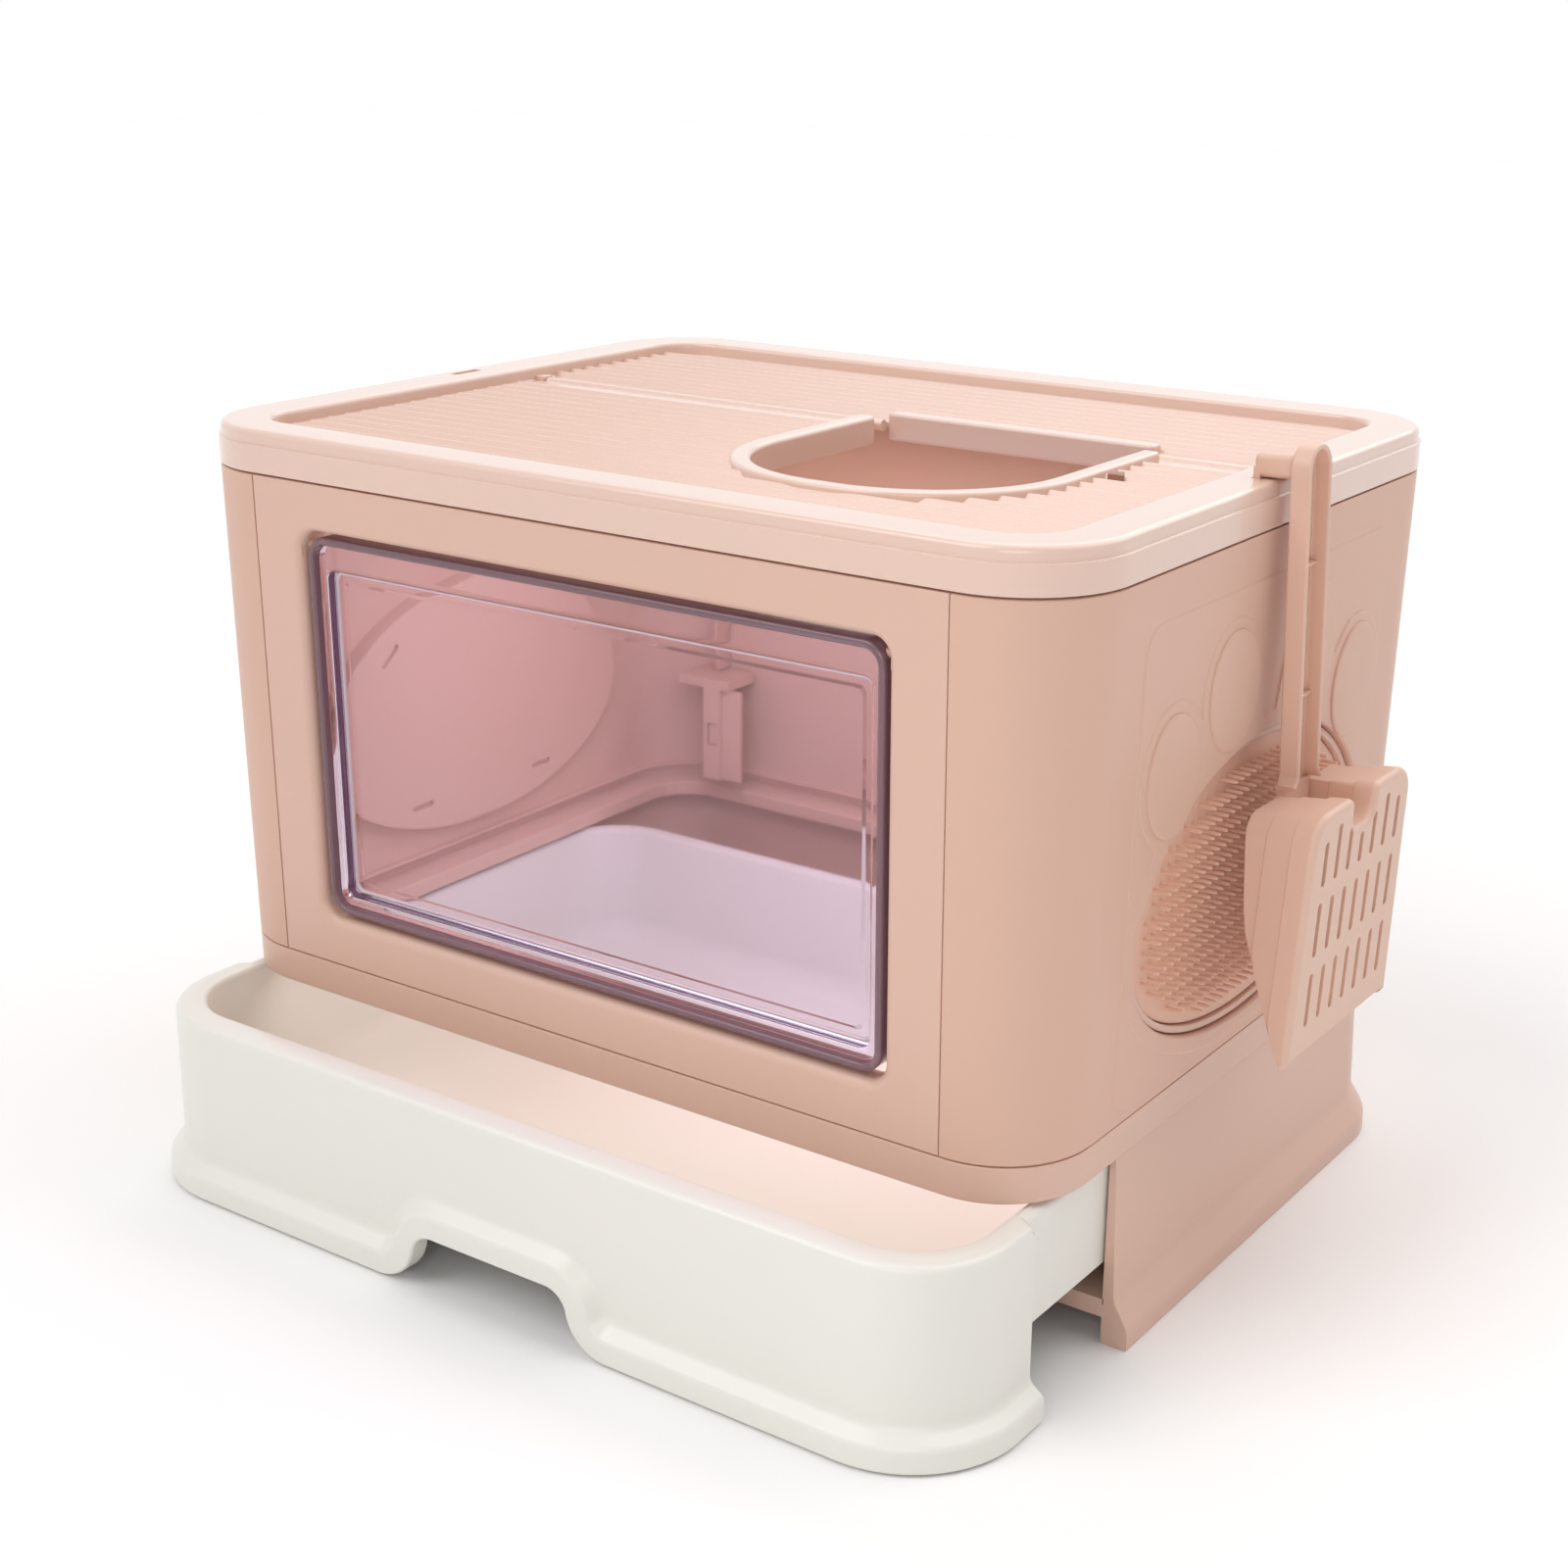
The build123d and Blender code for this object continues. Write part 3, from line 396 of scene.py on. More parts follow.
def mouldedMaterial(name):
    # plastic on the shared skin; where a finish has a colour through it, shadow rays pass and the cabin stays lit
    f = plainFinish | finishes[name]
    m = bpy.data.materials.new(name)
    m.use_nodes = True
    n, link = m.node_tree.nodes, m.node_tree.links.new
    p, skin = n["Principled BSDF"], n.new("ShaderNodeGroup")
    skin.node_tree = skinGroup
    setInputs(skin, {k: f[k.lower()] for k in ("Colour", "Drift", "Roughness", "Spread")})
    link(skin.outputs["Colour"], p.inputs["Base Color"])
    link(skin.outputs["Roughness"], p.inputs["Roughness"])
    setInputs(p, {"Coat Weight": f["coat"], "Coat Roughness": f["coatRough"], "Specular IOR Level": f["gloss"],
                  "Transmission Weight": f["clear"], "IOR": f["ior"]})
    if f["bump"]:
        bump = n.new("ShaderNodeBump")
        setInputs(bump, {"Strength": f["bump"], "Distance": f["bumpDeep"]})
        link(skin.outputs["Height"], bump.inputs["Height"])
        link(bump.outputs["Normal"], p.inputs["Normal"])
    if f["through"]:
        clear, path = n.new("ShaderNodeBsdfTransparent"), n.new("ShaderNodeLightPath")
        setInputs(clear, {"Color": f["through"]})
        mixByRay(m.node_tree, path.outputs["Is Shadow Ray"], p, clear, "Material Output")
    return m


paint = {name: mouldedMaterial(name) for name in finishes}
for obj in nodes.values():
    obj.data.materials.clear()
    obj.data.materials.append(paint["blushShell"])
print("materials made")


# cabinet: the walls lean in towards their feet
box = dict(
    halfX=254.6, halfY=202.1, corner=51.6, top=369.0, foot=116.0, lean=5.0 / 253.0, wall=3.0, seam=201.0, seamGap=0.3,
    footGap=0.8, footDeep=2.0)
sideEdge, panelEdge = box["seam"] + box["seamGap"], box["seam"] - box["seamGap"]
openFoot = box["foot"] + box["footGap"]  # open seam above the base ring


def leanAt(z):
    # how far out of its place under the lid the wall stands at a height, by a straight slope
    return (np.asarray(z, float) - box["top"]) * box["lean"]


def wallX(z):
    # half width at a height
    return box["halfX"] + leanAt(z)


def wallY(z):
    # half depth at a height
    return box["halfY"] + leanAt(z)


sideRelief = dict(
    padLevel=191.9, halfWidth=122.0, upper=79.95, lower=61.98, fieldX=131.0, fieldLow=121.0, fieldHigh=348.0,
    fieldCorner=14.0, fieldRise=0.6, platformGap=9.0, platformRise=0.7, toeRise=1.9, toeSize=(25.0, 29.1),
    toeTilt=14.0, toeGap=5.5, toes=((98.0, 274.9), (42.0, 300.9)),
    toeRings=((0, -0.4), (0, 0.5), (0.3, 0.8), (0.9, 0.96), (1.8, 1.0), (9.0, 1.03), (18.0, 1.05)), pocketDepth=10.0,
    pocketSkin=2.5, lipRound=1.6, slot=(17.0, 3.4),
    slots=((-51.5, 148.1, 0.0), (51.5, 148.1, 0.0), (-73.3, 242.1, 40.0)), wallRounds=(0.5, 0.9, 0.5, 0.2, 0.1, 0.1),
    lips=((116.4, 175.4), (183.2, 359.6)), lipWide=2.5, lipDeep=12.0, lipSet=8.0)


def ovalRay(theta, grow):
    # pad outline: half ellipses of different height above and below its widest line
    a = sideRelief["halfWidth"] + grow
    b = np.where(np.sin(theta) > 0, sideRelief["upper"], sideRelief["lower"]) + grow
    return a * b / np.hypot(b * np.cos(theta), a * np.sin(theta))


def platformRay(theta):
    # farthest of the grown pad and the grown toes in each direction, a little smoothed
    r = ovalRay(theta, sideRelief["platformGap"])
    ta, tb = (v + sideRelief["toeGap"] for v in sideRelief["toeSize"])
    for side in (-1, 1):
        for off, level in sideRelief["toes"]:
            tilt = math.radians(-side * sideRelief["toeTilt"])
            cy, cz = side * off, level - sideRelief["padLevel"]
            ct, st = math.cos(tilt), math.sin(tilt)
            dx, dy = np.cos(theta) * ct + np.sin(theta) * st, np.sin(theta) * ct - np.cos(theta) * st
            ox, oy = cy * ct + cz * st, cz * ct - cy * st
            qa = (dx / ta) ** 2 + (dy / tb) ** 2
            qb = dx * ox / ta ** 2 + dy * oy / tb ** 2
            qc = (ox / ta) ** 2 + (oy / tb) ** 2 - 1
            disc = qb ** 2 - qa * qc
            far = (qb + np.sqrt(np.maximum(disc, 0))) / qa
            r = np.where(disc > 0, np.maximum(r, far), r)
    kernel = np.array((1, 2, 3, 2, 1)) / 9.0
    return np.convolve(np.concatenate((r[-2:], r, r[:2])), kernel, "valid")


def sideRing(theta, ray, out):
    # ring of points round the pad's middle on the leaning side wall, that far out of it
    y, z = polar(theta, ray, sideRelief["padLevel"])
    return np.stack((wallX(z) + out, y, z), 1)


def padRing(theta, grow, x):
    # the pad's outline, grown and set upright at x
    return atDepth(x, np.stack(polar(theta, ovalRay(theta, grow), sideRelief["padLevel"]), 1))


def makeSidePanel():
    # corners: leaning section carried round quarter circles; flat: rings from the edge over field and platform
    # into the pocket, the same behind, and a strip that joins both at the edge
    s = sideRelief
    skin = Skin()
    pad, foot, high, thick, deep = s["padLevel"], box["foot"], box["top"], box["wall"], box["footDeep"]
    flatY, low = box["halfY"] - box["corner"], float(leanAt(foot))
    wall = [(low, openFoot), (0, high), (-thick, high), (low - thick, foot), (low - deep, foot), (low - deep, openFoot)]
    arc = unitArc(-90, 0, 24)
    nrm = np.concatenate((arc[:1], arc[:1], arc))
    path = np.concatenate(([(sideEdge, -box["halfY"]), (sideEdge + 0.5, -box["halfY"])],
                           np.array((box["halfX"] - box["corner"], -flatY)) + box["corner"] * arc))
    corner = carry(path, nrm, softened(wall, s["wallRounds"], 3))
    for g in (corner, corner[::-1] * np.array((1, -1, 1))):  # front and rear
        skin.grid(g, wrapV=True, capU=True)
    corners = [math.atan2(z - pad, y) for y in (-flatY, flatY) for z in (foot, high, openFoot)]
    theta = rayAngles(541, corners, 6, 25, corners)
    rect, openRect = (rayRect(theta, flatY, z - pad, high - pad) for z in (foot, openFoot))
    field = rayRect(theta, s["fieldX"], s["fieldLow"] - pad, s["fieldHigh"] - pad, s["fieldCorner"])
    plat = np.minimum(platformRay(theta), field - 2.5)
    f, rise, r, grow = s["fieldRise"], s["platformRise"], s["lipRound"], s["pocketSkin"]
    top, floorX = f + rise, float(wallX(pad)) - s["pocketDepth"]
    back = floorX - grow

    def onWall(*pairs):
        # rings on the wall at each (distance, rise)
        return [sideRing(theta, ray, out) for ray, out in pairs]

    rings = onWall((openRect, 0), (field + 0.5, 0), (field, 0.15 * f), (field - 0.7, 0.85 * f), (field - 1.2, f),
                   (plat + 0.5, f), (plat, f + 0.2 * rise), (plat - 0.6, f + 0.85 * rise), (plat - 1.2, top))
    rings += onWall(*((ovalRay(theta, r * (1 - math.sin(a))), top - r * (1 - math.cos(a)))
                      for a in np.radians((0, 22, 45, 68, 90))))
    skin.loops(rings + [padRing(theta, 0, floorX)], fillLast=True)
    inner = onWall((rect, -thick), (ovalRay(theta, grow + 2), -thick), (ovalRay(theta, grow + 0.6), -thick - 0.6))
    inner += [padRing(theta, grow - k, back + h) for k, h in ((0, 2.2), (0.7, 0.7), (2.2, 0))]
    skin.loops([q[::-1] for q in inner])
    addPocketSlots(skin, inner[-1][:, 1:], back, floorX - 0.1)
    strip = onWall((openRect, 0), (openRect, -deep), (rect, -deep), (rect, -thick))
    skin.loops([q[::-1] for q in strip])
    inside = box["halfY"] - s["lipSet"]
    for side in (-1, 1):
        for off, level in s["toes"]:
            addToe(skin, side, off, level)
        for z in s["lips"]:
            skin.bar((sideEdge, sideEdge + s["lipWide"]), span(side, inside - s["lipDeep"], inside + 0.5), z)
    return skin


def addPocketSlots(skin, rim, x, deep):
    # pocket back with long slots for the dish's tabs: flat face round the slots, then each slot's walls and bottom
    long, high = sideRelief["slot"]
    r = high / 2
    ends = np.concatenate((arcPoints((long / 2 - r, 0), r, -90, 90, 6), arcPoints((r - long / 2, 0), r, 90, 270, 6)))
    loops = []
    for y, z, tilt in sideRelief["slots"]:
        c, s = math.cos(math.radians(tilt)), math.sin(math.radians(tilt))
        loops.append(ends @ np.array(((c, s), (-s, c))) + (y, z))
    flat, tris = slotted(rim, loops)
    skin.add(atDepth(x, flat), tris)
    for loop in loops:
        skin.loops([atDepth(q, loop) for q in (x, deep)], fillLast=True)


def addToe(skin, side, off, level):
    # low oval: rings from its foot over a rounded shoulder to a gently crowned middle
    s = sideRelief
    a, b = s["toeSize"]
    tilt = math.radians(-side * s["toeTilt"])
    t = np.radians(np.arange(0, 360, 4))
    rings = []
    for shrink, rise in s["toeRings"]:
        y, z = (a - shrink) * np.cos(t), (b - shrink) * np.sin(t)
        yy = side * off + y * math.cos(tilt) - z * math.sin(tilt)
        zz = level + y * math.sin(tilt) + z * math.cos(tilt)
        rings.append(np.stack((wallX(zz) + s["fieldRise"] + s["toeRise"] * rise, yy, zz), 1))
    skin.loops(rings, fillLast=True)


sidePanel = makeSidePanel()
# side walls in the darker copy of the shell colour: painted shade
sidePanel.piece("right_side_skin", "blushShadedSide", "cabinet", ("right_side_panel",))
sidePanel.mirrored().piece("left_side_skin", "blushShadedSide", "cabinet", ("left_side_panel",))


postShape = dict(
    face=167.92, wall=195.3, levels=(116.2, 176.0), skin=2.5, wide={1: 27.0, -1: 13.0}, snap=(9.5, 3.5),
    snapLevels=(139.5, 152.5), snapRise=1.5)


def addPost(skin, side, end):
    # corner post: a web to the wall, a face towards the cabin and the bump that the clip snaps over
    p = postShape
    face, thick = p["face"], p["skin"]
    for x, y, z in (((thick, 0), (face, p["wall"]), p["levels"]),
                    ((p["wide"][end], 0), (face, face + thick), p["levels"]),
                    (p["snap"], (face - p["snapRise"], face + 1.0), p["snapLevels"])):
        skin.bar(span(side, panelEdge - x[0], panelEdge - x[1]), span(end, *y), z)


windowFrame = dict(
    halfX=171.5, low=142.0, high=345.0, corner=9.5, round=5.0, depth=16.0, lip=3.0, hingeY=-192.968, hingeZ=337.0,
    boss=6.0, bossLength=10.0, bossFront=-199.6)


def windowRing(theta, grow, back, follow=True):
    # ring round the window, that far behind the leaning front face, or at that depth
    w = windowFrame
    mid = (w["low"] + w["high"]) / 2
    ray = rayRect(theta, w["halfX"] + grow, w["low"] - mid - grow, w["high"] - mid + grow, w["corner"] + grow)
    x, z = polar(theta, ray, mid)
    y = -wallY(z) + back if follow else np.full_like(x, back)
    return np.stack((x, y, z), 1)


def makeFrontPanel():
    # rings from the panel's edge over the window's rounded rim to the lip behind it, and back along the inside
    w = windowFrame
    skin = Skin()
    mid, halfH = (w["low"] + w["high"]) / 2, (w["high"] - w["low"]) / 2
    foot, top, deep, r = box["foot"], box["top"], box["footDeep"], w["round"]
    corners = [math.atan2(z - mid, x) for x in (-panelEdge, panelEdge) for z in (foot, openFoot, top)]
    theta = rayAngles(241, cornerTurns(w["halfX"] - 6, halfH - 6), 7, 71, corners)
    rect, openRect = (rayRect(theta, panelEdge, z - mid, top - mid) for z in (foot, openFoot))

    def panelRing(ray, back):
        # ring round the window's middle, that far behind the leaning face
        x, z = polar(theta, ray, mid)
        return np.stack((x, -wallY(z) + back, z), 1)

    rings = [panelRing(rect, deep), panelRing(openRect, deep)]
    rings += [panelRing(openRect - k, back) for k, back in ((0, 0.5), (0.2, 0.15), (0.55, 0))]
    rings += [windowRing(theta, r * (1 - math.sin(a)), r * (1 - math.cos(a)))
              for a in np.radians(np.linspace(0, 90, 8))]
    lipBack, lip, e = -float(wallY(mid)) + w["depth"], w["lip"], 0.8
    rings += [windowRing(theta, grow, lipBack - k, False) for grow, k in ((0, e), (e, 0), (lip - e, 0), (lip, e))]
    rings += [windowRing(theta, lip, box["wall"]), panelRing(rect, box["wall"]), panelRing(rect, deep)]
    skin.loops(rings)
    y, z = (w["bossFront"], w["hingeY"] + w["boss"]), (w["hingeZ"] - w["boss"], w["hingeZ"] + w["boss"])
    for side in (-1, 1):
        skin.bar(span(side, w["halfX"] + 0.4, w["halfX"] + w["bossLength"]), y, z, 1.0)
        addPost(skin, side, -1)
    return skin


makeFrontPanel().piece("front_frame_skin", "blushShell", "cabinet", ("front_panel",))


def makeRearPanel(r=0.5, bevel=0.45):
    # leaning slab: its outer and inner lines stretched across, with the outer edges bevelled
    skin = Skin()
    z = np.array((box["foot"], box["foot"] + r, box["top"] - r, box["top"]))
    y = wallY(z)
    outer = np.stack((y - np.array((r, 0, 0, r)), z), 1)
    ring = np.concatenate((outer, np.stack((y - box["wall"], z), 1)[::-1]))
    g = np.stack([atDepth(x, ring) for x in (-panelEdge, -panelEdge + r, panelEdge - r, panelEdge)])
    g[(0, 3), 1:3, 1] -= bevel
    skin.grid(g, wrapV=True, capU=True)
    for side in (-1, 1):
        addPost(skin, side, 1)
    return skin


makeRearPanel().piece("rear_wall_skin", "blushShell", "cabinet", ("rear_panel",))


# base: ring with sill and litter guard, skirts with flared feet, floor with rails
baseShape = dict(
    sill=98.0, ring=18.0, guard=9.0, skin=3.0, skirtIn=2.5, spread=2.6, wall=3.0,
    groove=((6.4, 116.0), (6.4, 114.9), (1.5, 114.5), (1.5, 108.9), (7.0, 108.7)),
    ringRounds=(1.4, 0.6, 0.4, 0.4, 0.3, 0.3, 1.2, 1.5, 1.0, 0.8, 1, 1, 0.8),
    skirtRounds=(1.2, 9, 14, 20, 0.3, 0.3, 0.8), footHigh=24.0, toe=10.0, flare=8.0, reach=117.0, floorTop=23.0,
    floorThick=2.5, floorIn=2.4, lip=9.5, railHigh=2.0, railWide=6.0, railX=190.0, foot=((14, 0), (15, 1), (15, 21)))


def makeBase():
    # ring section carried round the whole plan, skirt section round its sides and rear, floor plate filled in
    b = baseShape
    skin = Skin()
    path, nrm = roundRect(box["halfX"], box["halfY"], box["corner"], 24)
    sill, top, low = b["sill"], float(leanAt(box["foot"])), float(leanAt(b["sill"]))
    roof, inner = sill + b["guard"] - b["skin"], low - b["ring"]
    ring = [(low, sill), (top, box["foot"])] + [(top - k, z) for k, z in b["groove"]]
    ring += [(top - b["ring"], sill + b["guard"]), (inner, sill), (inner + b["skin"], sill), (inner + b["skin"], roof),
             (low - b["skin"], roof), (low - b["skin"], sill)]
    skin.sweep(path, nrm, softened(ring, b["ringRounds"], 4))
    half, depth, corner = (box[k] + low - b["skirtIn"] for k in ("halfX", "halfY", "corner"))
    path, nrm = rearHalf(*roundRect(half, depth, corner, 24), half, -b["reach"])
    out = b["spread"] + b["flare"]
    wall = [(out, 0), (out, b["toe"]), (b["spread"], b["footHigh"]), (0, sill + 1), (0, roof + 1),
            (-b["wall"], roof + 1), (-b["wall"], 0)]
    skin.sweep(path, nrm, softened(wall, b["skirtRounds"], 6), wrap=False)
    x, high = half - b["floorIn"], b["floorTop"]
    plan = np.concatenate(([(-x, -b["reach"]), (x, -b["reach"])], (path - nrm * b["floorIn"])[1:-1]))
    skin.loops([atLevel(plan, z) for z in (high - b["floorThick"], high)], fillLast=True, fillFirst=True)
    skin.bar((-x, x), (-b["reach"] - 0.02, b["floorThick"] - b["reach"]), (high - b["lip"], high + 0.01), 0.6)
    for side in (-1, 1):
        rail = span(side, b["railX"] - b["railWide"] / 2, b["railX"] + b["railWide"] / 2)
        skin.bar(rail, (-b["reach"], depth - 4), (high - 1, high + b["railHigh"]), 0.6)
    disc = unit(np.radians(np.arange(0, 360, 7.5)))
    skin.loops([atLevel(disc * r, z) for r, z in b["foot"]], fillFirst=True)
    return skin


makeBase().piece("base_skin", "blushShell", "cabinet", ("base_frame",))
print("cabinet done")


# window flap: stepped border round a thin pane, hung a little off plumb; sections in (inset, depth)
flapShape = dict(
    half=169.5, low=144.0, high=343.0, corner=12.0, innerCorner=4.0, front=-198.968, turn=1.132, topExtra=8.0,
    rim=((4.4, 12), (0.4, 12), (0.4, 0), (4.4, 0)), rimRounds=(0.2, 1.4, 2.6, 1.3),
    bead=((12.3, 10.2), (10.7, 10.2), (10.7, 8.2), (12.3, 8.2)), beadRounds=(0.2, 0.2, 0.7, 0.7),
    steps=((7, 12), (4.5, 12), (4.5, 4), (10, 4), (10, 9.5), (15.5, 9.5), (17, 8.8), (22, 8.8)),
    rounds=(0, 0.2, 0.8, 1.4, 1.4, 0.6, 0.6, 0))


def makeWindowFlap():
    # each section carried round a rounded rectangle that shrinks by the inset, more of it at the top
    f = flapShape
    rim, bead, pane = Skin(), Skin(), Skin()
    mid, halfH = (f["low"] + f["high"]) / 2, (f["high"] - f["low"]) / 2
    theta = rayAngles(181, cornerTurns(f["half"] - 8, halfH - 8), 8, 61)

    def ring(inset, deep):
        # ring at (inset, depth), the top's own inset eased in
        top = inset + f["topExtra"] * min(max((inset - 5) / 5, 0), 1)
        ray = rayRect(theta, f["half"] - inset, f["low"] - mid + inset, f["high"] - mid - top,
                      max(f["corner"] - inset, f["innerCorner"]))
        x, z = polar(theta, ray, mid)
        return np.stack((x, np.full_like(x, f["front"] + deep), z), 1)

    for skin, key in ((rim, "rim"), (bead, "bead")):
        edge = [ring(*q) for q in softened(f[key], f[key + "Rounds"], 4)]
        skin.loops(edge + edge[:1])
    pane.loops([ring(*q) for q in softened(f["steps"], f["rounds"], 4, closed=False)], fillLast=True, fillFirst=True)
    turn = turnedAbout((0, windowFrame["hingeY"], windowFrame["hingeZ"]), f["turn"], "X")
    return [s.moved(turn) for s in (rim, bead, pane)]


flapRim, flapBead, flapPane = makeWindowFlap()
flapPane.piece("window_pane", "smokedPane", "window", ("window_flap",), slot="smoked_window", sharp=40)
# rim in the darker smoked tint: partly painted shade of the border's edges
flapRim.piece("window_rim", "smokedShadedRim", "window", slot="smoked_window", sharp=40)
# thin bead in a pale colour: painted glint at the pane's inner step
flapBead.piece("window_bead", "paleGlintBead", "window", slot="smoked_window", sharp=40)


# lid: rim with skirt, ribbed rear deck, ribbed front deck with the entry hole's collar
lidShape = dict(
    halfX=255.0, halfY=202.5, corner=52.0, low=370.0, top=391.0, recess=27.0, deck=383.0, margin=33.5,
    ledge=(1.1, 7.4, 7.0), inside=24.5, deckSkin=2.8, topSkin=3.0, tongue=(4.2, 6.6, 8.0), slotX=11.5, slotWide=5.0,
    slotLong=21.0, pitch=12.3, crest=3.0, crestShare=0.2, ribRounds=(0.5, 0.9), rearStart=48.4, rearEnd=175.0,
    rearLift=0.06, rearCorner=(228.4, 175.9, 25.4), collar=10.0, hinge=(45.0, 381.75), barrel=3.0, flapX=221.0,
    flapY=-168.5, flapCorner=18.0, hole=(8.0, 162.0, -120.0, 70.0), armEnd=36.0, collarLow=373.5, collarTop=388.0,
    collarRounds=(0.8, 0.8, 2.0, 2.6),
    rimRounds=(0.7, 0.3, 0.3, 4.5, 0, 0, 3.0, 1.2, 0.6, 0.5, 0.5, 1, 0.8, 0.6, 0.6, 0.2),
    seats=(((221.5, 229), (41, 49), (377.8, 385.7), 1.2), ((216.6, 229), (-174, 36), (377.8, 380.1), 0.5)),
    frontSeat=((-226, 226), (-176, -164.2), (377.7, 380.05)), arrow=((174.2, -22), (183.2, -22), (178.7, -12)),
    arrowRings=((1, 0), (1, 3.5), (0.93, 3.75), (0.8, 3.8)))


def ribLine(start, count, level):
    # sawtooth with soft crests: steep front, gentle fall to the back
    p, h = lidShape["pitch"], lidShape["crest"]
    pts, rad = [], []
    for k in range(count):
        pts += [(start + k * p, level), (start + (k + lidShape["crestShare"]) * p, level + h)]
        rad += lidShape["ribRounds"]
    pts.append((start + count * p, level))
    return softened(pts, rad + [0], 3, closed=False)


def deckSection(line, first, last, low, level):
    # closed section: rib line cut to the limits on top and held level beyond its ends, flat underside
    line = np.concatenate((line[:1] - (0.4, 0), line, line[-1:] + (0.4, 0)))
    inside = line[(line[:, 0] > first + 0.01) & (line[:, 0] < last - 0.01)]
    near = first + lidShape["flapCorner"] * (1 - np.cos(np.radians(np.arange(0, 91, 9))))  # stations round the corner
    y = np.unique(np.round(np.concatenate((near, inside[:, 0], [last])), 4))
    z = np.interp(y, line[:, 0], line[:, 1], left=level, right=level)
    return np.concatenate((y, y[::-1])), np.concatenate((z, np.full(len(y), low)))


def cornerLimit(y, half, end, radius):
    # half width of a rounded rectangle at each y
    over = np.clip(np.abs(y) - (end - radius), 0, radius)
    return half - radius + np.sqrt(radius ** 2 - over ** 2)


def makeLidFrame():
    # rim section carried round the plan, open where the hook slots go down; rear deck stretched across
    v = lidShape
    skin = Skin()
    steps = 24
    path, nrm = roundRect(v["halfX"], v["halfY"], v["corner"], steps)
    half, cut = v["slotLong"] / 2, 2 * (steps + 1)
    path = np.concatenate((path[:cut], [(-v["halfX"], half), (-v["halfX"], -half)], path[cut:],
                           [(v["halfX"], -half), (v["halfX"], half)]))
    nrm = np.concatenate((nrm[:cut], [(-1, 0), (-1, 0)], nrm[cut:], [(1, 0), (1, 0)]))
    t, d, low = v["top"], v["deck"], v["low"]
    slotOut, slotIn = -v["slotX"] + v["slotWide"] / 2, -v["slotX"] - v["slotWide"] / 2
    (back, lower, upper), (near, far, down) = v["ledge"], v["tongue"]
    under, roof, inside = d - v["deckSkin"], t - v["topSkin"], -v["inside"]
    pts = [(0, low), (0, t - lower), (-back, t - upper), (-back, t), (slotOut, t), (slotIn, t), (-v["recess"], t),
           (-v["recess"], d), (-v["margin"], d), (-v["margin"], under), (inside, under), (inside, roof),
           (-far, roof), (-far, low - down), (-near, low - down), (-near, low)]
    prof = softened(pts, v["rimRounds"], 4)
    drop = np.zeros((len(path), len(prof)), bool)
    at = int(np.argmin(np.hypot(prof[:, 0] - slotOut, prof[:, 1] - t)))
    drop[cut, at] = drop[len(path) - 2, at] = True
    skin.grid(carry(path, nrm, prof), wrapU=True, wrapV=True, drop=drop.ravel())
    for side in (-1, 1):
        a, b = side * (v["halfX"] + slotIn), side * (v["halfX"] + slotOut)
        loop = np.array([(a, -half), (b, -half), (b, half), (a, half)])
        skin.loops([atLevel(loop, z) for z in (t, d)], fillLast=True)
        for x, y, z, r in v["seats"]:
            skin.bar(span(side, *x), y, z, r)
    skin.bar(*v["frontSeat"])
    first, level = v["rearStart"], d + v["rearLift"]
    line = ribLine(first + v["collar"], 9, level)
    y, z = deckSection(line, first + 0.15, v["rearEnd"], d - 2.4, level)
    limit = cornerLimit(y, *v["rearCorner"])
    skin.rows(y, z, -limit, limit)
    skin.bar(v["hole"][:2], (first, first + v["collar"]), (v["collarLow"], v["collarTop"]), 2.0, 3)
    return skin


# lid rim in the paler copy of the shell colour: painted light on the lit top
makeLidFrame().piece("lid_rim_skin", "blushLitLid", "lid", ("lid_frame",))


def makeLidFlap():
    # ribbed section stretched across, left and right of the hole behind its front; collar carried round the hole
    v = lidShape
    skin = Skin()
    left, right, front, r = v["hole"]
    d, c, low = v["deck"], v["collar"] / 2, v["deck"] - 2.5
    plan = v["flapX"], -v["flapY"], v["flapCorner"]
    line = ribLine(v["flapY"], 16, d)
    y, z = deckSection(line, v["flapY"], front - c, low, d)
    lim = cornerLimit(y, *plan)
    skin.rows(y, z, -lim, lim)
    y, z = deckSection(line, front - c + 0.02, v["hinge"][0] - 1, low, d)
    lim = cornerLimit(np.minimum(y, 0), *plan)
    bow = np.sqrt(np.maximum((r + c) ** 2 - np.clip(front + r - y, 0, r + c) ** 2, 0))
    skin.rows(y, z, -lim, left + r - bow)
    skin.rows(y, z, right - r + bow, lim)
    nrm = unit(np.radians(np.concatenate(([180], np.linspace(180, 270, 25), np.linspace(270, 360, 25), [360]))))
    path = atLevel(np.repeat((left + r, right - r), 26)[:, None], front + r) + r * nrm
    path[0, 1] = path[-1, 1] = v["armEnd"]
    prof = [(0, v["collarLow"]), (v["collar"], v["collarLow"]), (v["collar"], v["collarTop"]), (0, v["collarTop"])]
    skin.sweep(path, nrm, softened(prof, v["collarRounds"], 4), wrap=False)
    barrel = v["hinge"] + v["barrel"] * unit(np.radians(np.arange(0, 360, 12)))
    for x0, x1 in ((-v["flapX"], left), (right, v["flapX"])):
        skin.rows(*barrel.T, x0, x1)
    tri = softened(v["arrow"], (0.8, 0.8, 0.8), 4)
    mid = tri.mean(0)
    arrow = Skin().loops([atLevel(mid + (tri - mid) * s, d + h) for s, h in v["arrowRings"]], True, True)
    return skin, arrow


deckSkin, arrow = makeLidFlap()
# front deck in the paler copy of the shell colour: painted light on the lit top
deckSkin.piece("lid_deck_skin", "blushLitLid", "deck", ("lid_flap",))
# raised arrow in a dark colour: painted shade for a recess
arrow.piece("lid_arrow", "arrowPaintedShade", "deck")
print("lid done")


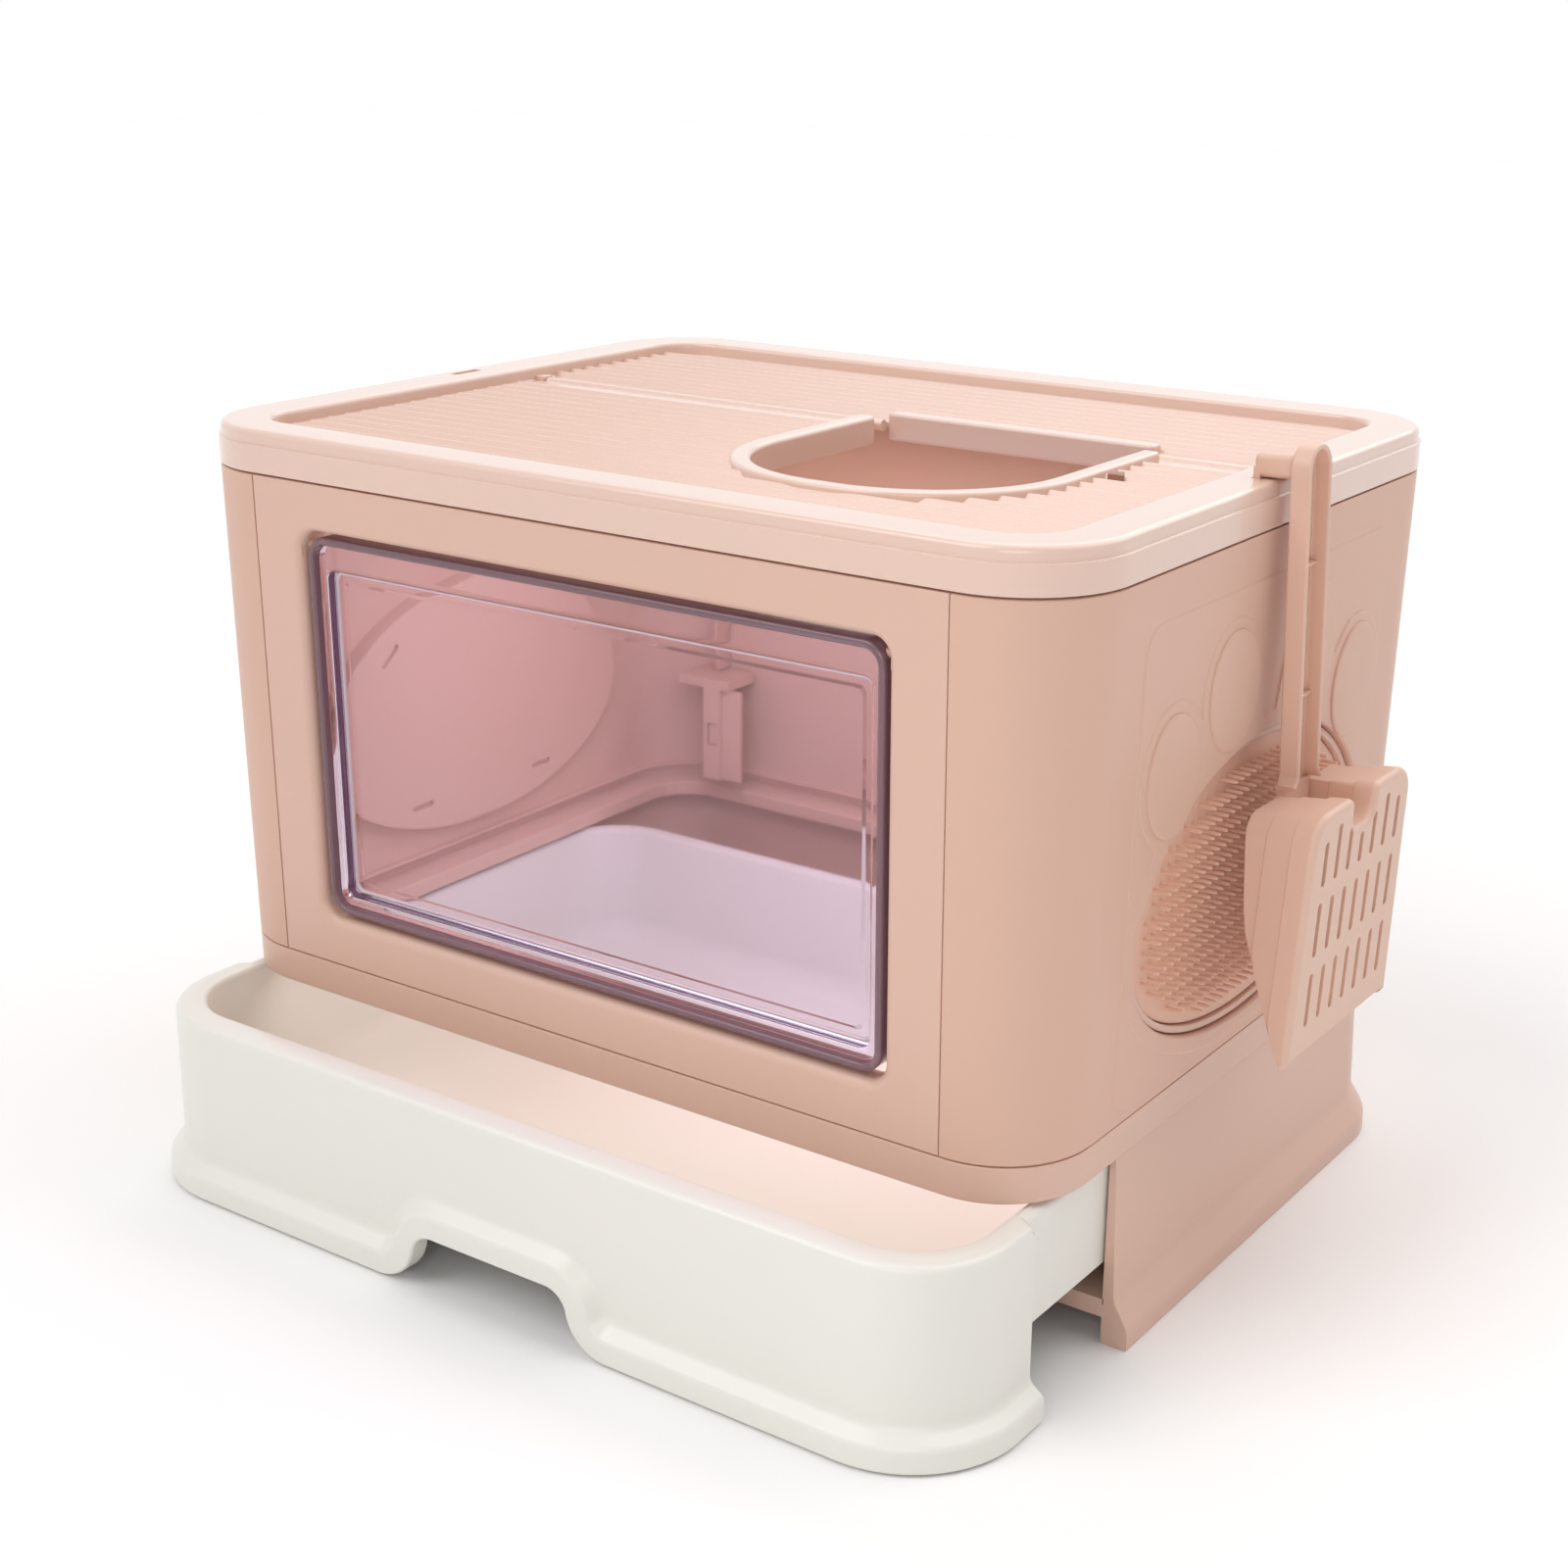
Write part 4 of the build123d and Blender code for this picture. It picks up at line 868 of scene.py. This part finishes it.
# drawer: basin with a crowned rim, side skirts, fascia whose flared foot follows the grip notch
trayShape = dict(
    half=247.44, front=-262.24, rear=-190.6, corner=50.0, low=1.0, top=96.5, trayHalf=242.44, trayRear=116.24,
    trayCorner=46.0, frontRim=17.0, sideRim=9.0, rimRound=3.8, lipRound=3.6, crown=0.5, rimHigh=9.0, basinLow=27.8,
    basinIn=8.0, basinRound=12.0, cornersAt=(215, 165), floor=2.5, skirtLow=41.0, skirtHalf=200.0,
    skirtRounds=(0.9, 0.1, 0.1, 0.9), skin=2.6, wall=2.8, flat=36.0, rise=29.0, footArc=24.0, topArc=12.0,
    bandHigh=25.0, band=((-2.8, 0), (8.0, 0), (7.8, 12.0), (0, 18.2), (0, 30)), bandRounds=(0, 1.8, 4.5, 6, 0))


def fasciaFoot():
    # lower edge in (x, z): level, up through a wide and a tight arc, level over the notch, and back; with normals
    v = trayShape
    turn = math.acos(1 - v["rise"] / (v["footArc"] + v["topArc"]))
    run = (v["footArc"] + v["topArc"]) * math.sin(turn)
    foot = unit(np.linspace(-np.pi / 2, -np.pi / 2 + turn, 15))
    crest = unit(np.linspace(np.pi / 2 + turn, np.pi / 2, 15)[1:])
    footMid = np.array((-v["flat"] - run, v["low"] + v["footArc"]))
    crestMid = np.array((-v["flat"], v["low"] + v["rise"] - v["topArc"]))
    start = np.column_stack((np.linspace(-(v["half"] - v["corner"]), footMid[0], 9)[:-1], np.full(8, v["low"])))
    level = np.column_stack((np.linspace(-v["flat"], v["flat"], 9)[1:-1], np.full(7, v["low"] + v["rise"])))
    pts = np.concatenate((start, footMid + v["footArc"] * foot, crestMid + v["topArc"] * crest))
    nrm = np.concatenate((np.tile((0.0, 1.0), (8, 1)), -foot, crest))
    return bothEnds(pts, level), bothEnds(nrm, np.tile((0.0, 1.0), (7, 1)))


def makeDrawer():
    # rings from under the rim over its crown and down into the basin, and the same below; skirt section carried
    # round sides and rear; fascia section carried along its foot line
    v = trayShape
    skin = Skin()
    cy = (v["front"] + v["trayRear"]) / 2
    narrow = v["rear"] - 2.2  # the rim steps in just ahead of the fascia's rear end
    step = [math.atan2(narrow - cy, sx * v["half"]) + d for sx in (-1, 1) for d in np.linspace(-0.012, 0.012, 17)]
    theta = rayAngles(181, cornerTurns(*v["cornersAt"]), 14, 57, step)

    def outer(inset, beyond=400.0):
        # the fascia's plan ahead of the step, the tray's behind it
        front = v["front"] - cy + inset
        wide = rayRect(theta, v["half"] - inset, front, beyond, v["corner"] - inset)
        tray = rayRect(theta, v["trayHalf"] - inset, front, v["trayRear"] - cy - inset, v["trayCorner"] - inset)
        return np.where(polar(theta, wide, cy)[1] < narrow, wide, tray)

    def basin(inset):
        # the basin's plan, that far inside its mouth
        side = v["sideRim"] + inset
        low, high = v["front"] + v["frontRim"] + inset - cy, v["trayRear"] - side - cy
        return rayRect(theta, v["trayHalf"] - side, low, high, v["trayCorner"] - side)

    def ring(ray, z):
        # level ring round the tray's middle
        return atLevel(np.stack(polar(theta, ray, cy), 1), z)

    top, low, r, q, deep = v["top"], v["basinLow"], v["rimRound"], v["lipRound"], v["basinRound"]
    crown, under = v["crown"], v["top"] - v["rimHigh"]
    arc = np.radians(np.linspace(0, 90, 6))
    edge, lip = outer(r), basin(-q)
    rings = [ring(outer(0), under)]
    rings += [ring(outer(r * (1 - math.cos(a))), top - crown - r * (1 - math.sin(a))) for a in arc]
    rings += [ring(edge + (lip - edge) * k, top - crown * (2 * k - 1) ** 2) for k in (0.25, 0.5, 0.75)]
    rings += [ring(basin(-q * (1 - math.sin(a))), top - crown - q * (1 - math.cos(a))) for a in arc]
    rings += [ring(basin(v["basinIn"] * 0.8), low + deep)]
    rings += [ring(basin(v["basinIn"] * 0.85 + deep * (1 - math.cos(a))), low + deep * (1 - math.sin(a)))
              for a in arc[1:]]
    skin.loops(rings, fillLast=True)
    below = [ring(outer(0), under), ring(outer(1.5), under - 0.4), ring(basin(-2.5), under - 0.4),
             ring(basin(5.5), low - v["floor"] + 6), ring(basin(12), low - v["floor"])]
    skin.loops([k[::-1] for k in below], fillLast=True)
    plan = roundRect(v["trayHalf"], v["skirtHalf"], v["trayCorner"], 16, (0, v["trayRear"] - v["skirtHalf"]))
    path, nrm = rearHalf(*plan, v["trayHalf"], v["rear"] - v["skin"])
    wall = [(-0.02, v["skirtLow"]), (-0.02, under + 0.2), (-2.5, under + 0.2), (-2.5, v["skirtLow"])]
    skin.sweep(path, nrm, softened(wall, v["skirtRounds"], 3), wrap=False)
    for side in (-1, 1):
        skin.bar(span(side, v["trayHalf"] - 2.5, v["half"] - 1.4), (v["rear"] - 2.7, v["rear"] - 0.05),
                 (v["skirtLow"], under + 0.3), 0.4)
    foot, lift = fasciaFoot()
    front = np.column_stack((foot[:, 0], np.full(len(foot), v["front"])))
    turn = unitArc(180, 270, 20)[:-1]
    mid = np.array((-(v["half"] - v["corner"]), v["front"] + v["corner"]))
    bend = np.concatenate(([(-v["half"], v["rear"])], mid + v["corner"] * turn))
    bendN = np.concatenate(([(-1, 0)], turn))
    plan, out = bothEnds(bend, front), bothEnds(bendN, np.tile((0.0, -1.0), (len(foot), 1)))
    base, side, up = (np.pad(line, len(bend), constant_values=end)
                      for line, end in ((foot[:, 1], v["low"]), (lift[:, 0], 0.0), (lift[:, 1], 1.0)))

    def carried(o, h):
        # that far out of the plan and that far from the foot line, along the line's own normal
        return np.column_stack((plan[:, 0] + side * h + out[:, 0] * o, plan[:, 1] + out[:, 1] * o, base + up * h))

    columns = [carried(o, h) for o, h in softened(v["band"], v["bandRounds"], 6, closed=False) if h < v["bandHigh"]]
    last, tall, thick = columns[-1], top - 5, v["wall"]
    columns += [np.column_stack((last[:, :2] - out * (0.03 * f), last[:, 2] + (tall - last[:, 2]) * f))
                for f in (0.25, 0.5, 0.75, 1.0)]
    columns += [atLevel(last[:, :2] - out * thick, tall), carried(-thick, 20)]
    skin.grid(np.stack(columns, 1), wrapV=True, capU=True)
    return skin


makeDrawer().piece("drawer_skin", "milkTray", "drawer", ("drawer_tray",), slot="tray_plastic", sharp=36)
print("drawer done")


# brushes: oval dish with a thin flange, mat with round-tipped bristles in straight rows
brushShape = dict(
    gap=0.5, rim=4.0, back=241.3, floor=244.1, setback=0.8, mat=247.4, pitch=6.93, row=7.1, inset=7.5,
    tab=((239.8, 242.3), (-7.0, 7.0), (0.1, 1.2)),
    rings=((1.02, -0.6), (0.97, 4.0), (0.92, 7.4), (0.72, 8.2), (0.36, 8.6)), sides=9)


def makeCarrier():
    # rings from the dish's back over the flange, which follows the wall, to its floor; tabs behind
    b = brushShape
    skin = Skin()
    theta = np.radians(np.arange(0, 360, 1.5))

    def face(grow, down):
        # ring on the flange, which follows the wall up to the pad's middle and then stands upright
        y, z = polar(theta, ovalRay(theta, grow), sideRelief["padLevel"])
        x = np.minimum(wallX(z), wallX(sideRelief["padLevel"])) - b["setback"] - down
        return np.stack((x, y, z), 1)

    g, h = -b["gap"], -b["gap"] - b["rim"]
    rings = [padRing(theta, g - 1, b["back"]), padRing(theta, g, b["back"] + 1)]
    rings += [face(*q) for q in ((g, 1.2), (g - 0.35, 0.35), (g - 1.2, 0), (h + 1.2, 0), (h + 0.35, 0.35), (h, 1.2))]
    rings += [padRing(theta, h, b["floor"] + 0.8), padRing(theta, h - 0.8, b["floor"])]
    skin.loops(rings, fillLast=True, fillFirst=True)
    for y, z, tilt in sideRelief["slots"]:
        since = len(skin.verts)
        skin.bar(*b["tab"], 0.3)
        skin.moved(Matrix.Translation((0, y, z)) @ Matrix.Rotation(math.radians(tilt), 4, "X"), since)
    return skin


def makeMat():
    # thin pad, and one bristle of stacked rings set at every grid point inside the shrunk oval
    b, s = brushShape, sideRelief
    skin = Skin()
    theta = np.radians(np.arange(0, 360, 3))
    inset = -(b["gap"] + b["rim"] + 0.5)
    pad = ((inset, b["floor"] + 0.02), (inset, b["mat"] - 0.6), (inset - 0.6, b["mat"]))
    skin.loops([padRing(theta, *q) for q in pad], fillLast=True, fillFirst=True)
    row, col = np.meshgrid(np.arange(-14, 15), np.arange(-18, 19), indexing="ij")
    y, z = col * b["pitch"], row * b["row"]
    reach = np.where(z > 0, s["upper"], s["lower"]) + inset - b["inset"]
    inside = (y / (s["halfWidth"] + inset - b["inset"])) ** 2 + (z / reach) ** 2 < 1
    place = np.stack((y[inside], z[inside] + s["padLevel"]), 1)
    t = np.arange(b["sides"]) * 2 * np.pi / b["sides"]
    r, h = np.array(b["rings"]).T
    n, m = b["sides"], len(r)
    strand = np.empty((m, n, 3))
    strand[..., 0] = b["mat"] + h[:, None]
    strand[..., 1] = r[:, None] * np.cos(t)
    strand[..., 2] = r[:, None] * np.sin(t)
    verts = strand[None] + atDepth(0.0, place)[:, None, None]
    every = (np.arange(len(place)) * n * m)[:, None, None]
    faces = (gridFaces(m, n, False, True)[:, ::-1] + every).reshape(-1, 4).tolist()
    tip, root = np.arange((m - 1) * n, m * n), np.arange(n)[::-1]
    faces += (tip + every[:, 0]).tolist() + (root + every[:, 0]).tolist()
    print("bristles on one mat:", len(place))
    return skin.add(verts, faces)


carrier, mat = makeCarrier(), makeMat()
for side, dish, field in (("right", carrier, mat), ("left", carrier.mirrored(), mat.mirrored())):
    dish.piece("brush_dish_" + side, "blushShell", "cabinet", ("brush_carrier_" + side,))
    field.piece("brush_field_" + side, "blushBrush", "cabinet", ("brush_mat_" + side,), slot="brush_rubber", sharp=50)
print("brushes done")


# scoop: worked out upright from the handle's back face, then leaned outwards
scoopShape = dict(
    back=260.5, handleHalf=12.2, handleDepth=10.0, handleSkin=2.4, top=407.0, head=250.0, tip=130.0, topHalf=55.0,
    tipHalf=59.0, deepTop=39.0, deepTip=29.5, skin=2.2, corner=20.0, tipCorner=4.5, edge=3.4,
    falls=(0, 0.09, 0.28, 0.46, 0.64, 0.79, 0.91, 1.0), depths=(2.5, 2.5, 2.8, 3.6, 9.8, 15.5, 20.3, 26.5),
    notch=12.0, notchDeep=15.5, lip=4.0, slot=(4.2, 26.5), pitch=13.8, rowPitch=34.4, first=8.0,
    drops=(5.0, 0.0, 5.5, 11.5, 5.5, 0.0, 5.0), flare=5.0, flareHigh=5.5,
    sideSteps=((-3.4, -25.1), (-2.5, -24.5), (-1.7, -12.3), (-0.6, -11.7)), handleRibs=(0.36, 0.75),
    block=((242.0, 261.5), (-10.2, 10.2), (391.3, 402.3)), leg=((241.7, 245.3), (-10.2, 10.2), (383.0, 396.5)),
    lean=-2.2, pivot=(243.5, 0.0, 391.0))


def pathNormals(path):
    # normal to the right of travel, averaged over the two segments that meet at each point
    d = np.diff(path, axis=0)
    d /= np.linalg.norm(d, axis=1)[:, None]
    t = np.concatenate((d[:1], d[:-1] + d[1:], d[-1:]))
    t /= np.linalg.norm(t, axis=1)[:, None]
    return np.stack((t[:, 1], -t[:, 0]), 1)


def addHead(skin):
    # shell section carried round the head's outline, from its falling rear edge over the rounded front edge and back;
    # then the slotted plate's two faces and the walls of its slots
    v = scoopShape
    head, tip, n, e, k = v["head"], v["tip"], v["notch"], v["edge"], v["skin"]
    tall = head - tip

    def front(face, w):
        # points at the plate's depth, which falls off towards the tip
        return atDepth(v["back"] + v["deepTop"] - (v["deepTop"] - v["deepTip"]) * (head - face[:, 1]) / tall + w, face)

    side = [(v["tipHalf"] - 5.5, tip), (v["tipHalf"], tip)]
    side += [(v["tipHalf"] + (v["topHalf"] - v["tipHalf"]) * (level - tip) / tall, level)
             for level in np.linspace(tip + 11, head - 28, 9)]  # more stations up the straight sides
    side += [(v["topHalf"], head), (n, head), (n, head - v["notchDeep"])]
    turns = [0, v["tipCorner"]] + [0] * 9 + [v["corner"], v["lip"], n * 0.98]
    path = softened(side + [(-y, z) for y, z in side[::-1]], turns + turns[::-1], 9, closed=False)
    nrm = pathNormals(path)
    fine = np.linspace(0, 1, 201)
    smooth = np.convolve(np.pad(np.interp(fine, v["falls"], v["depths"]), 9, mode="edge"), np.ones(19) / 19, "valid")
    notched = np.abs(path[:, 0]) < n + v["lip"] + 0.1
    rear = v["back"] + np.where(notched, v["depths"][0], np.interp((head - path[:, 1]) / tall, fine, smooth))
    cols = [atDepth(rear + 0.55, path + nrm * -3.6)]
    for row, (o, w) in enumerate(v["sideSteps"], 1):
        col = front(path + nrm * o, w)
        col[:, 0] = np.maximum(col[:, 0], rear + 0.6 + 0.05 * row)
        cols.append(col)
    bend = np.concatenate((arcPoints((-e, -e), e, 0, 90, 6), [(-e - 0.2, 0.0), (-e - 0.2, -k)],
                           arcPoints((-e, -e), e - k, 90, 0, 4)))  # (out, depth from the plate's face)
    cols += [front(path + nrm * o, w) for o, w in bend]
    cols += [atDepth(rear + w, path + nrm * o) for o, w in ((-k - 3.6, 0.55), (-k - 3.05, 0.0), (-4.15, 0.0))]
    skin.grid(np.stack(cols, 1), wrapV=True, capU=True)
    sw, sl = v["slot"]
    loops = []
    for row in range(3):
        for col, drop in enumerate(v["drops"]):
            across, high = (col - 3) * v["pitch"], head - v["first"] - row * v["rowPitch"]
            low = high - sl + sw / 2
            high -= sw / 2 + (0 if row else drop)
            loops.append(np.concatenate((arcPoints((across, high), sw / 2, 0, 180, 8),
                                         arcPoints((across, low), sw / 2, 180, 360, 8))))
    rim = path - nrm * (e + 0.2)
    flat, tris = slotted(rim, loops)
    for w in (0.0, -k):
        skin.add(front(flat, w), tris)
    for loop in loops:
        skin.loops([front(loop, w) for w in (0.0, -k)])
    skin.add(np.concatenate([front(rim[(0, -1), :], w) for w in (0.0, -k)]), [(0, 1, 3, 2)])


def makeScoop():
    # head, then the handle: channel section carried up one side, round its top and down, with its core filled in
    v = scoopShape
    skin = Skin()
    addHead(skin)
    h, back, head = v["handleHalf"], v["back"], v["head"]
    up = np.linspace(0.06, 1, 12)  # concave fillet where the handle widens into the head
    sag = np.sqrt(1 - (1 - up) ** 2)
    bend = np.column_stack((h + v["flare"] * (1 - sag), head + v["flareHigh"] - v["flare"] * (1 - up)))
    bendN = np.column_stack((sag, 1 - up))
    crown = unitArc(0, 180, 24)
    stem, stemN = bothEnds(bend, (0, v["top"] - h) + h * crown), bothEnds(bendN, crown)
    q, d = v["handleSkin"], v["handleDepth"]
    prof = softened([(0, 0), (0, d), (-q, d), (-q, q), (-q - 3, q), (-q - 3, 0)], (1.4, 1.0, 1.0, 0.9, 0, 0), 4)
    skin.grid(np.roll(carry(stem, stemN, prof + (0, back)), 1, axis=2), wrapV=True, capU=True)
    core = stem - stemN * (q + 2.9)
    skin.loops([atDepth(back + w, core) for w in (0.02, q - 0.02)], fillLast=True, fillFirst=True)
    for share in v["handleRibs"]:
        level = v["top"] - share * (v["top"] - head)
        skin.bar((back + 1, back + 5.4), (-h + 1, h - 1), (level, level + 1.8), 0.7)
    skin.bar((back + 0.1, back + 4.7), (-14, 14), (head - v["notchDeep"] - 2.2, head - 1), 1.0)
    skin.bar(*v["block"], 3.0, 4)
    skin.moved(turnedAbout(v["pivot"], v["lean"], "Y"))
    return skin.bar(*v["leg"], 0.7)


makeScoop().piece("scoop_skin", "blushScoop", "scoop", ("litter_scoop",))
print("scoop done")


# stage: white surroundings, a floor that keeps the shadow, soft light from above and the front left
stage = dict(
    worldLight=0.25, sky=(1.0, 0.985, 0.98, 1.0), floor=(0.98, 0.975, 0.975, 1.0), floorRough=0.95, floorSize=8.0)


def makeStage(v):
    # square floor, and a world that is white to the camera and in gloss and glass, and lights more weakly
    s = v["floorSize"]
    mesh = bpy.data.meshes.new("floor")
    mesh.from_pydata([(-s, -s, 0), (s, -s, 0), (s, s, 0), (-s, s, 0)], [], [(0, 1, 2, 3)])
    floor = newObject("floor", mesh)
    m = bpy.data.materials.new("paleFloor")
    m.use_nodes = True
    setInputs(m.node_tree.nodes["Principled BSDF"],
              {"Base Color": v["floor"], "Roughness": v["floorRough"], "Specular IOR Level": 0.0})
    mesh.materials.append(m)
    world = bpy.data.worlds.new("studio")
    scene.world = world
    world.use_nodes = True
    n, link = world.node_tree.nodes, world.node_tree.links.new
    plain, white, path = n["Background"], n.new("ShaderNodeBackground"), n.new("ShaderNodeLightPath")
    setInputs(plain, {"Color": v["sky"], "Strength": v["worldLight"]})
    setInputs(white, {"Color": (1, 1, 1, 1), "Strength": 1.0})
    ray = path.outputs["Is Camera Ray"]
    for kind in ("Is Glossy Ray", "Is Transmission Ray"):
        either = n.new("ShaderNodeMath")
        either.operation = "MAXIMUM"
        link(ray, either.inputs[0])
        link(path.outputs[kind], either.inputs[1])
        ray = either.outputs[0]
    mixByRay(world.node_tree, ray, plain, white, "World Output")


# lamps: kind, place, what it looks at (straight down without), values, rays that don't show it
lamps = {
    "keySun": ("SUN", (-0.5, -0.8, 1.1), (0, 0, 0), {"angle": math.radians(40), "energy": 1.0}, ()),
    "topSun": ("SUN", (0.1, 0.55, 1.0), (0, 0, 0), {"angle": math.radians(84), "energy": 1.95}, ()),
    "cornerBox": ("AREA", (0.75, -1.35, 0.75), (0.2, -0.2, 0.25), {"size": 0.7, "energy": 3.3}, ("camera",)),
    # weak fill under the lid, standing in for what thin walls let through
    "cabinFill": ("AREA", (0, -0.02, 0.352), None, {"shape": "RECTANGLE", "size": 0.36, "size_y": 0.26, "energy": 0.7},
                  ("camera", "glossy", "transmission")),
}


def addLamp(name, kind, place, aim, values, hidden):
    # lamp turned so that its axis points at the aim
    data = bpy.data.lights.new(name, kind)
    for key, value in values.items():
        setattr(data, key, value)
    obj = newObject(name, data)
    obj.location = place
    if aim:
        obj.rotation_euler = (Vector(aim) - Vector(place)).to_track_quat("-Z", "Y").to_euler()
    for ray in hidden:
        setattr(obj, "visible_" + ray, False)


makeStage(stage)
for name, lamp in lamps.items():
    addLamp(name, *lamp)
scene.view_settings.view_transform = "Standard"
print("stage set")
